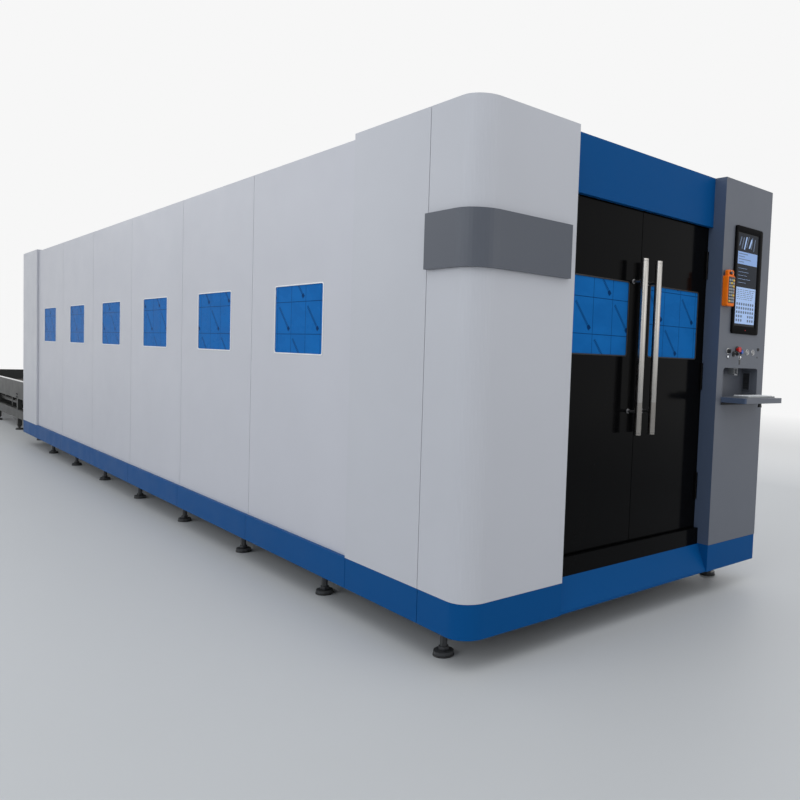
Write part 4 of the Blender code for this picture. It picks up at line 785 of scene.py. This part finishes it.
def build_keyboard():
    """A flat keyboard on the flap, with a space bar in its front row."""
    flap = 1.1302
    base = flap + 0.009
    outline = rounded((1.86, -0.142), (2.15, -0.036), 0.008, 4)
    body = Piece().slab(outline, "z", flap, base, 0.0015)
    body.put("keyboard_body", "grey_plastic", "keyboard_flap")
    key, bar, gap = 0.0165, 0.0945, 0.0018
    keys = Piece()
    for row in range(5):
        x = 1.868
        y = -0.1335 + row * 0.019
        for width in [key] * 15 if row else [key] * 4 + [bar] + [key] * 5:
            keys.box((x, y, base), (x + width, y + 0.016, flap + 0.0125), 0.0012, 1)
            x += width + gap
    keys.put("keyboard_keys", "white_plastic", "keyboard_flap")


def build_pendant():
    """The hand pendant: its body and hanging loop, dark key field, keys, red light and hook."""
    face = -0.035
    case = Piece().slab(rounded((1.758, 1.636), (1.831, 1.803), 0.009, 6), "y", face, -0.0006, 0.003, 3)
    outer = rounded((1.764, 1.7985), (1.826, 1.835), 0.012, 6)
    inner = rounded((1.78, 1.8095), (1.81, 1.8245), 0.006, 6)
    made = case.rim(outer, inner, "y", -0.029, -0.01, 0.002).put("pendant_case", "orange")
    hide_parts("pendant")
    field = rounded((1.765, 1.653), (1.826, 1.797), 0.005, 4)
    Piece().slab(field, "y", face - 0.001, face + 0.0005, 0.0004).put("pendant_field", "plastic")
    white = Piece()
    yellow = Piece()
    for row in range(8):
        for column in range(3):
            x = 1.769 + column * 0.0188
            z = 1.6575 + row * 0.0165
            key = rounded((x, z), (x + 0.0145, z + 0.0105), 0.002, 2)
            target = yellow if (row, column) in ((0, 0), (2, 2), (5, 2), (6, 1), (7, 2)) else white
            target.slab(key, "y", face - 0.0032, face - 0.0009, 0.0006)
    white.put("pendant_keys", "grey_plastic")
    yellow.put("pendant_keys_yellow", "yellow")
    lens = [(0.0024, 0.0), (0.0022, 0.0008), (0.0, 0.0014)]
    Piece().lathe((1.795, face - 0.001, 1.7925), FORWARD, lens, 16).put("pendant_light", "red")
    hook = Piece().rod((1.795, -0.0002, 1.827), (1.795, -0.032, 1.827), 0.0024, 0.0008, 12)
    hook.rod((1.795, -0.03, 1.827), (1.795, -0.032, 1.83), 0.0024, 0.0008, 12)
    hook.put("pendant_hook", "zinc")


# Doors and windows


def build_handles():
    """Long tube handles with rounded ends, stand-offs, collars and the seams of their end caps."""
    y, radius = 0.03, 0.018
    low, high = 0.94, 1.82
    length = high - low
    back = LEAF_FACE - 0.0002
    ends = [(0.0, 0.0), (radius - 0.003, 0.0), (radius - 0.001, 0.0008), (radius, 0.0025)]
    profile = ends + [(wide, length - height) for wide, height in ends[::-1]]
    foot = [(0.0115, 0.0), (0.0115, 0.0045), (0.0105, 0.0055), (0.0075, 0.0055)]
    collar = [(0.01, 0.0), (0.01, 0.004), (0.0092, 0.005), (0.0075, 0.005)]
    inside, outside = radius - 0.001, radius + 0.0003
    seam = [(inside, 0.0), (outside, 0.0), (outside, 0.001), (inside, 0.001)]
    for side, sign in (("left", -1), ("right", 1)):
        x = DOOR_MIDDLE + sign * 0.056
        door = f"door_{side}"
        posts = Piece()
        for z in (1.057, 1.71):
            posts.rod((x, y + radius - 0.004, z), (x, back, z), 0.0075, 0.0, 32)
            posts.lathe((x, back, z), FORWARD, foot, 32)
            posts.lathe((x, y + radius - 0.001, z), BACKWARD, collar, 32)
        posts.put(f"handle_posts_{side}", "button", door)
        tube = Piece().lathe((x, y, low), UP, profile, 48)
        made = tube.put(f"handle_tube_{side}", "steel", door)
        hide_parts(f"door_handle_{side}")
        seams = Piece()
        for z in (low + 0.012, high - 0.012):
            seams.lathe((x, y, z - 0.0005), UP, seam, 48)
        seams.put(f"handle_seams_{side}", "frame_grey", door)


def grown(low, high, by, up=None):
    """The two corners of a rectangle moved outwards, by one amount or by one across and one up."""
    up = by if up is None else up
    return (low[0] - by, low[1] - up), (high[0] + by, high[1] + up)


def build_door_trim():
    """Rubber seals round the door panes."""
    for side, sign in (("left", -1), ("right", 1)):
        middle = DOOR_MIDDLE + sign * 0.302
        pane = (middle - 0.215, 1.336), (middle + 0.215, 1.703)
        outer = rounded(*grown(*pane, 0.004), 0.014, 5)
        inner = rounded(*grown(*pane, -0.0025), 0.01, 5)
        seal = Piece().rim(outer, inner, "y", LEAF_FACE - 0.0014, LEAF_FACE + 0.0012, 0.0005)
        seal.put(f"door_seal_{side}", "rubber", f"door_{side}")


def build_window_rims():
    """Thin pale trims round the six side windows."""
    lap = 0.02
    for number in range(1, 7):
        (_, y0, z0), (_, y1, z1) = box_of(f"side_window_{number}")
        opening = (y0 + lap, z0 + lap), (y1 - lap, z1 - lap)
        outer = rounded(*grown(*opening, 0.008, 0.006), 0.017, 5)
        trim = Piece().rim(outer, rounded(*opening, 0.012, 5), "x", 0.0182, 0.0199, 0.0006)
        trim.put(f"window_trim_{number}", "trim_white")


# Pallets, with the full number of slats


def slat_section(bottom):
    """The outline of one serrated slat across the pallet."""
    left, right = PALLET_SIDE + 0.03, PALLET_RIGHT - 0.03
    first_tooth = PALLET_RIGHT - 0.065
    pitch = (PALLET_RIGHT - PALLET_SIDE - 2 * 0.065) / SLAT_TEETH
    valley, tip = bottom + 0.088, bottom + 0.125
    outline = [(left, bottom + 0.035), (right, bottom + 0.035), (right, valley - 0.008)]
    outline += [(first_tooth, valley)]
    for number in range(SLAT_TEETH):
        middle = first_tooth - (number + 0.5) * pitch
        outline += [(middle + 0.004, tip), (middle - 0.004, tip), (middle - pitch / 2, valley)]
    return outline + [(left, valley - 0.008)]


def build_pallet(name, start, level):
    """A cutting pallet: welded tube frame, seventy serrated slats, comb strips, wheels and drive lugs."""
    bottom = level + 0.012
    top = bottom + 0.09
    end = start + PALLET_LENGTH
    left, right = PALLET_SIDE, PALLET_RIGHT
    tube, margin, wheel_count = 0.06, 0.08, 5
    frame_piece = Piece()
    for x in (left, right - tube):
        frame_piece.box((x, start, bottom), (x + tube, end, top), 0.004)
    for y in (start, end - tube):
        low = (left + 0.057, y + 0.001, bottom + 0.003)
        frame_piece.box(low, (right - 0.057, y + 0.059, top - 0.003), 0.004)
    for x in (0.735, 1.095, 1.455):
        low = (x, start + 0.055, bottom + 0.003)
        frame_piece.box(low, (x + tube, end - 0.055, bottom + 0.032), 0.003)
    made = frame_piece.put(f"{name}_frame", "raw", name)
    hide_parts(name)

    pitch = (PALLET_LENGTH - 2 * margin) / SLAT_COUNT
    places = [start + margin + (number + 0.5) * pitch for number in range(SLAT_COUNT)]
    slats = Piece()
    for y in places:
        slats.slab(slat_section(bottom), "y", y - 0.002, y + 0.002)
    slats.put(f"{name}_slats", "cut_edge", name)

    # Comb strips with a low tooth at each slat, which holds it upright
    seat, crest = top + 0.0002, top + 0.013
    outline = [(start + 0.07, seat)]
    for y in places:
        outline += [(y - 0.03, seat), (y - 0.024, crest), (y + 0.024, crest), (y + 0.03, seat)]
    outline += [(end - 0.07, seat), (end - 0.07, top - 0.01), (start + 0.07, top - 0.01)]
    combs = Piece()
    for x in (left + 0.004, right - 0.01):
        combs.slab(outline, "x", x, x + 0.006)
    combs.put(f"{name}_combs", "cut_edge", name)

    profile = [(0.0, 0.0), (0.01, 0.0), (0.012, 0.003), (0.026, 0.003), (0.03, 0.005)]
    profile += [(0.03, 0.019), (0.0285, 0.021), (0.0285, 0.024), (0.0, 0.024)]
    wheels = Piece()
    for number in range(wheel_count):
        y = start + PALLET_LENGTH * (number + 0.5) / wheel_count
        for x, out in ((left - 0.024, RIGHTWARD), (right + 0.024, LEFTWARD)):
            wheels.lathe((x, y, level + 0.0303), out, profile, 28)
    wheels.put(f"{name}_wheels", "turned", name)

    lugs = Piece()
    for y, sign in ((start, -1), (end, 1)):
        low, high = sorted((y - sign * 0.012, y + sign * 0.006))
        for x in (0.62, 1.63):
            lugs.box((x - 0.03, low, bottom + 0.012), (x + 0.03, high, bottom + 0.07), 0.003)
    lugs.put(f"{name}_lugs", "raw", name)


# Gantry, carriage and head


def build_gantry_trim():
    """End plates, servo drives, the cable chain in its tray and the rack of the gantry."""
    bolt = [(0.0065, 0.0), (0.0065, 0.003), (0.005, 0.0042), (0.0, 0.0042)]
    plates = Piece()
    for x0, x1, head, out in ((0.1055, 0.1098, 0.1055, LEFTWARD), (2.1402, 2.1445, 2.1445, RIGHTWARD)):
        plates.box((x0, 1.203, 1.063), (x1, 1.457, 1.307), 0.0015)
        for y in (1.225, 1.435):
            for z in (1.085, 1.285):
                plates.lathe((head, y, z), out, bolt, 12)
    plates.put("gantry_end_plates", "grey", "gantry")

    drives = Piece()
    for x in (0.22, 2.03):
        drives.box((x - 0.045, 1.462, 1.075), (x + 0.045, 1.482, 1.165), 0.002)
        drives.box((x - 0.04, 1.482, 1.08), (x + 0.04, 1.615, 1.16), 0.006, 3)
        drives.box((x - 0.022, 1.56, 1.16), (x + 0.022, 1.6, 1.18), 0.003)
        for step in range(6):
            y = 1.495 + step * 0.009
            drives.box((x - 0.0412, y, 1.0788), (x + 0.0412, y + 0.003, 1.1612))
    drives.put("gantry_servos", "frame_grey", "gantry")

    section = [(1.352, 1.3102), (1.448, 1.3102), (1.448, 1.352), (1.4455, 1.352)]
    section += [(1.4455, 1.3127), (1.3545, 1.3127), (1.3545, 1.352), (1.352, 1.352)]
    Piece().slab(section, "x", 0.3, 2.06).put("gantry_tray", "zinc", "gantry")
    low, high = 1.314, 1.342
    chain = Piece()
    for number in range(44):
        x = 0.312 + number * 0.039
        for y in (1.358, 1.436):
            chain.box((x, y, low), (x + 0.036, y + 0.006, high), 0.002, 1)
        for z in (high - 0.0025, low):
            chain.box((x + 0.004, 1.364, z), (x + 0.015, 1.436, z + 0.0025))
    chain.put("gantry_cable_chain", "plastic", "gantry")
    cables = Piece()
    for y, radius in ((1.376, 0.006), (1.392, 0.0045), (1.408, 0.006), (1.424, 0.004)):
        z = low + 0.003 + radius
        cables.rod((0.305, y, z), (2.05, y, z), radius, 0.0, 10)
    cables.put("gantry_cables", "rubber", "gantry")

    start, end = 0.17, 2.08
    root, tip = 1.1555, 1.152
    teeth = 120
    pitch = 1.91 / teeth
    rack = Piece().box((start, 1.178, 1.155), (end, 1.1998, 1.185), 0.001)
    outline = [(start, tip)]
    for number in range(teeth):
        x = start + number * pitch
        outline += [(x + pitch * 0.25, root), (x + pitch * 0.5, root), (x + pitch * 0.75, tip)]
    outline += [(end, tip), (end, 1.16), (start, 1.16)]
    rack.slab(outline[::-1], "y", 1.18, 1.1998).put("gantry_rack", "rail", "gantry")


def build_carriage_trim():
    """The carriage's cover, lift motor and chain arm."""
    cover = Piece().box((0.35, 1.116, 1.345), (0.59, 1.1278, 1.395), 0.003)
    for x in (0.343, 0.535):
        cover.box((x, 1.118, 1.035), (x + 0.062, 1.1278, 1.34), 0.003)
    cover.put("carriage_cover", "white", "carriage")
    motor = Piece().box((0.435, 1.134, 1.4002), (0.505, 1.194, 1.415), 0.002)
    motor.box((0.44, 1.137, 1.415), (0.5, 1.191, 1.52), 0.006, 3)
    motor.box((0.452, 1.12, 1.48), (0.488, 1.137, 1.512), 0.003)
    motor.put("carriage_motor", "frame_grey", "carriage")
    arm = Piece()
    for y0, z0, y1, z1 in ((1.14, 1.4002, 1.18, 1.406), (1.176, 1.4002, 1.446, 1.406),
                           (1.352, 1.36, 1.446, 1.401)):
        arm.box((0.555, y0, z0), (0.595, y1, z1), 0.001)
    arm.put("carriage_chain_arm", "zinc", "carriage")


def build_head_trim():
    """Lens drawers, side covers, sensor collar and the copper nozzle of the cutting head."""
    head = "cutting_head"
    middle, front = 0.47, 1.0377

    def turned(base, profile, sides, piece=None):
        return (piece or Piece()).lathe((middle, 1.0827, base), UP, profile, sides)

    covers = Piece()
    for x in (0.4105, 0.525):
        covers.box((x, 1.044, 0.99), (x + 0.0045, 1.122, 1.33), 0.0015)
    covers.box((0.424, front - 0.003, 1.19), (0.516, front, 1.325), 0.0015)
    covers.put("head_covers", "blue", head)
    drawers = Piece()
    for z in (1.005, 1.065, 1.125):
        drawers.box((0.43, front - 0.006, z), (0.51, front, z + 0.042), 0.002)
        knob = z + 0.021
        drawers.rod((middle, front - 0.006, knob), (middle, front - 0.02, knob), 0.008, 0.002, 20)
    drawers.put("head_drawers", "frame_grey", head)
    collar = turned(0.96, [(0.036, 0.0), (0.038, 0.002), (0.038, 0.016), (0.036, 0.018)], 36)
    turned(0.918, [(0.031, 0.0), (0.0355, 0.004), (0.0355, 0.01), (0.033, 0.012)], 36, collar)
    socket = [(0.0245, 0.0), (0.0245, 0.026), (0.015, 0.028), (0.012, 0.06), (0.0, 0.06)]
    turned(1.4, socket, 28, collar).put("head_collars", "turned", head)
    ceramic = turned(0.88, [(0.013, 0.0), (0.0165, 0.002), (0.0195, 0.008), (0.0195, 0.012)], 28)
    ceramic.put("head_ceramic", "white_plastic", head, "aluminium")
    cone = [(0.0015, 0.0), (0.004, 0.0), (0.0085, 0.007)]
    cone += [(0.0105, 0.0075), (0.0105, 0.0145), (0.0, 0.0145)]
    turned(0.8655, cone, 28).put("head_nozzle", "brass", head)


def build_bed_trim():
    """Racks beside the rails, their end buffers, and strip lights inside the enclosure."""
    start, end = 1.02, 8.22
    bottom, root, tip = 0.9002, 0.915, 0.9185
    teeth = 300
    pitch = 7.2 / teeth
    tops = []
    for number in range(teeth):
        y = start + number * pitch
        tops += [(y, root), (y + pitch * 0.25, tip), (y + pitch * 0.5, tip), (y + pitch * 0.75, root)]
    outline = [(start, bottom), (end, bottom), (end, root)] + tops[::-1]
    racks = Piece()
    for x in (0.246, 1.986):
        racks.slab(outline, "x", x, x + 0.018)
    racks.put("bed_racks", "rail")
    buffers = Piece()
    for x in (0.22, 2.03):
        for y, sign in ((1.03, 1), (8.27, -1)):
            low, high = sorted((y, y - sign * 0.02))
            buffers.box((x - 0.03, low, bottom), (x + 0.03, high, 0.965), 0.002)
            buffers.rod((x, y, 0.95), (x, y + sign * 0.03, 0.95), 0.012, 0.003, 20)
    buffers.put("bed_buffers", "rubber")
    strips = Piece()
    for x in (0.0925, 2.1435):
        strips.box((x, 1.1, 2.245), (x + 0.014, 8.3, 2.262), 0.003)
    strips.put("inside_strip_lights", "strip")


# Feet, the changer table and the closed sides


def build_feet():
    """Lock nuts, washers and rubber rings on the levelling feet."""
    nuts = Piece()
    rubber = Piece()
    washer = [(0.034, 0.0), (0.034, 0.0035), (0.017, 0.0035)]
    ring = [(0.0468, 0.0), (0.0475, 0.003), (0.0468, 0.007), (0.045, 0.008)]
    for x in (0.1, 2.15):
        for number in range(8):
            y = 0.25 + 1.06 * number
            nuts.slab(hexagon(x, y, 0.027), "z", 0.113, 0.1345, 0.0015)
            nuts.slab(hexagon(x, y, 0.025), "z", 0.0245, 0.04, 0.0015)
            nuts.lathe((x, y, 0.1346), UP, washer, 24)
            rubber.lathe((x, y, 0.0), UP, ring, 32)
    for x in (0.23, 2.02):
        for y in LEG_PLACES:
            nuts.slab(hexagon(x, y, 0.024), "z", 0.044, 0.059, 0.0015)
            rubber.lathe((x, y, 0.0), UP, ring, 32)
    # Painted shade in part: the lock nuts take the dark finish because under the machine they stand in its
    # shadow
    nuts.put("foot_nuts_in_painted_shade", "dark")
    rubber.put("foot_rings", "rubber", slot="dark_steel")


def build_table_trim():
    """Bright strips along the pallet changer's beams as a painted highlight on their top flanges, its bolts,
    and its motor's fan cover and fins.
    """
    # Painted highlight: bright metal strips where light catches the top flanges of the beams
    strips = Piece()
    for x in (0.206, 1.996):
        strips.box((x, 8.85, 0.6902), (x + 0.048, 15.35, 0.6985), 0.0015)
    strips.put("table_highlight_strips", "rail")
    bolt = [(0.013, 0.0), (0.013, 0.002), (0.0085, 0.002)]
    bolt += [(0.0085, 0.0075), (0.007, 0.009), (0.0, 0.009)]
    bolts = Piece()
    for middle in LEG_PLACES:
        for x, out in ((0.2, LEFTWARD), (2.05, RIGHTWARD)):
            for y in (middle - 0.022, middle + 0.022):
                for z in (0.47, 0.51):
                    bolts.lathe((x, y, z), out, bolt, 6)
    bolts.put("table_bolts", "dark")
    (x0, _, z0), (x1, end, z1) = box_of("table_drive_motor")
    x, z = (x0 + x1) / 2, (z0 + z1) / 2
    fin = [(0.069, 0.0), (0.0755, 0.0005), (0.0755, 0.0035), (0.069, 0.004)]
    cover = [(0.07, 0.0), (0.0765, 0.002), (0.0765, 0.04), (0.07, 0.047), (0.0, 0.047)]
    fins = Piece()
    for step in range(13):
        fins.lathe((x, end - 0.215 + step * 0.0125, z), BACKWARD, fin, 32)
    fins.lathe((x, end - 0.045, z), BACKWARD, cover, 32)
    fins.box((x - 0.04, end - 0.185, z + 0.068), (x + 0.04, end - 0.095, z + 0.105), 0.004)
    fins.put("table_motor_fins", "dark")


def screw_row(piece, start, end, count, out):
    """Pan head screws at even places between two points, pointing outwards."""
    head = [(0.0068, 0.0), (0.0066, 0.0012), (0.0048, 0.0026), (0.0, 0.0031)]
    for number in range(count):
        piece.lathe(Vector(start).lerp(Vector(end), number / (count - 1)), out, head, 12)


def build_screws():
    """Cover screws on the roof, the right side and the rear wall, and a seal round the rear opening."""
    screws = Piece()
    for name in ("roof_panel_1", "roof_panel_2"):
        (x0, y0, _), (x1, y1, top) = box_of(name)
        z = top + CLEAR
        for x in (x0 + 0.025, x1 - 0.025):
            screw_row(screws, (x, y0 + 0.05, z), (x, y1 - 0.05, z), 12, UP)
        for y in (y0 + 0.02, y1 - 0.02):
            screw_row(screws, (0.35, y, z), (1.9, y, z), 5, UP)
    for name in ("side_panel_right_1", "side_panel_right_2"):
        (_, y0, _), (x1, y1, _) = box_of(name)
        face = x1 + CLEAR
        for y in (y0 + 0.02, y1 - 0.02):
            screw_row(screws, (face, y, 0.36), (face, y, 2.25), 7, RIGHTWARD)
    (x0, _, _), (x1, y1, _) = box_of("rear_wall")
    face = y1 + CLEAR
    for x in (x0 + 0.02, x1 - 0.02):
        screw_row(screws, (x, face, 0.36), (x, face, 2.28), 8, BACKWARD)
    screw_row(screws, (0.42, face, 2.3), (2.1, face, 2.3), 7, BACKWARD)
    screws.put("cover_screws", "zinc")

    outer = rounded((0.277, 0.322), (1.973, 0.808), 0.012, 4)
    inner = rounded((0.2865, 0.3315), (1.9635, 0.7985), 0.006, 4)
    Piece().rim(outer, inner, "y", face - 0.002, face + 0.004, 0.001).put("rear_opening_seal", "rubber")


# The stage

# The white that the camera and reflections see round the machine
WHITE = {"Color": (1.0, 1.0, 1.0), "Strength": 0.93}
FLOOR_REACH = 60.0

# Each lamp: its place, what it points at, its watts, its two sizes and its colour
LAMPS = {
    "overhead": ((-1.0, -1.5, 6.5), (1.0, 2.0, 0.8), 120.0, (7.0, 5.0), (0.96, 0.98, 1.0)),
    "left_fill": ((-6.5, 2.5, 3.6), (0.5, 3.0, 1.2), 120.0, (9.0, 3.5), (0.93, 0.97, 1.0)),
    "front_fill": ((2.4, -5.0, 3.0), (1.4, 0.0, 1.2), 30.0, (4.0, 2.6), (1.0, 0.98, 0.95)),
    "right_fill": ((8.5, 5.0, 4.0), (1.5, 5.0, 1.0), 110.0, (9.0, 3.5), (0.97, 0.98, 1.0)),
    "rear_fill": ((-3.0, 12.0, 5.0), (0.8, 9.0, 0.8), 60.0, (6.0, 4.0), (0.96, 0.98, 1.0)),
}


def add_floor():
    """A pale floor that fades to white away from the machine."""
    floor = Finish("pale_floor", (0.6, 0.605, 0.61), 0.55)
    apart = floor.vector("ABSOLUTE", floor.coordinates)
    outside = floor.vector("MAXIMUM", floor.vector("SUBTRACT", apart, (1.2, 7.8, 0.0)))
    far = floor.ramp(floor.vector("LENGTH", outside, output="Value"), 3.5, 15.0)
    floor.colours(floor.tint(floor.noise(0.8, 4.0), 0.015))
    floor.bump(floor.noise(30.0, 2.0), 0.05, 0.001)
    factor = floor.times(floor.math("POWER", far, 0.7), floor.looking())
    floor.blend(factor, floor.shader.outputs[0], floor.node("Emission", WHITE, 0), "Material Output")
    data = bpy.data.meshes.new("floor")
    corners = [(x * FLOOR_REACH, y * FLOOR_REACH, 0) for x, y in ((-1, -1), (1, -1), (1, 1), (-1, 1))]
    data.from_pydata(corners, [], [(0, 1, 2, 3)])
    data.materials.append(floor.material)
    ground = bpy.data.objects.new("floor", data)
    bpy.context.scene.collection.objects.link(ground)


def add_surroundings():
    """Soft light from all round, behind a plain white that only looking rays see."""
    world = bpy.data.worlds.new("surroundings")
    sky = Nodes(world)
    light = sky.tree.nodes["Background"]
    sky.feed(light, {"Color": (0.9, 0.95, 1.0), "Strength": 0.55})
    sky.blend(sky.looking(), light.outputs[0], sky.node("Background", WHITE, 0), "World Output")
    bpy.context.scene.world = world


def add_lamps():
    for name, (spot, aim, energy, size, colour) in LAMPS.items():
        data = bpy.data.lights.new(name, "AREA")
        data.energy = energy
        data.color = colour
        data.shape = "RECTANGLE"
        data.size, data.size_y = size
        lamp = bpy.data.objects.new(name, data)
        bpy.context.scene.collection.objects.link(lamp)
        lamp.location = place(*spot)
        lamp.rotation_euler = (place(*aim) - lamp.location).to_track_quat("-Z", "Y").to_euler()


# Building the looks

dress_frame()
paint_console_shade()
build_monitor()
build_display()
build_controls()
build_niche()
build_keyboard()
build_pendant()
build_handles()
build_door_trim()
build_window_rims()
build_pallet("pallet_upper", 1.5, 0.6)
build_pallet("pallet_lower", 8.95, 0.38)
build_gantry_trim()
build_carriage_trim()
build_head_trim()
build_bed_trim()
build_feet()
build_table_trim()
build_screws()
add_camera()
add_floor()
add_surroundings()
add_lamps()

bpy.context.scene.view_settings.view_transform = "Standard"
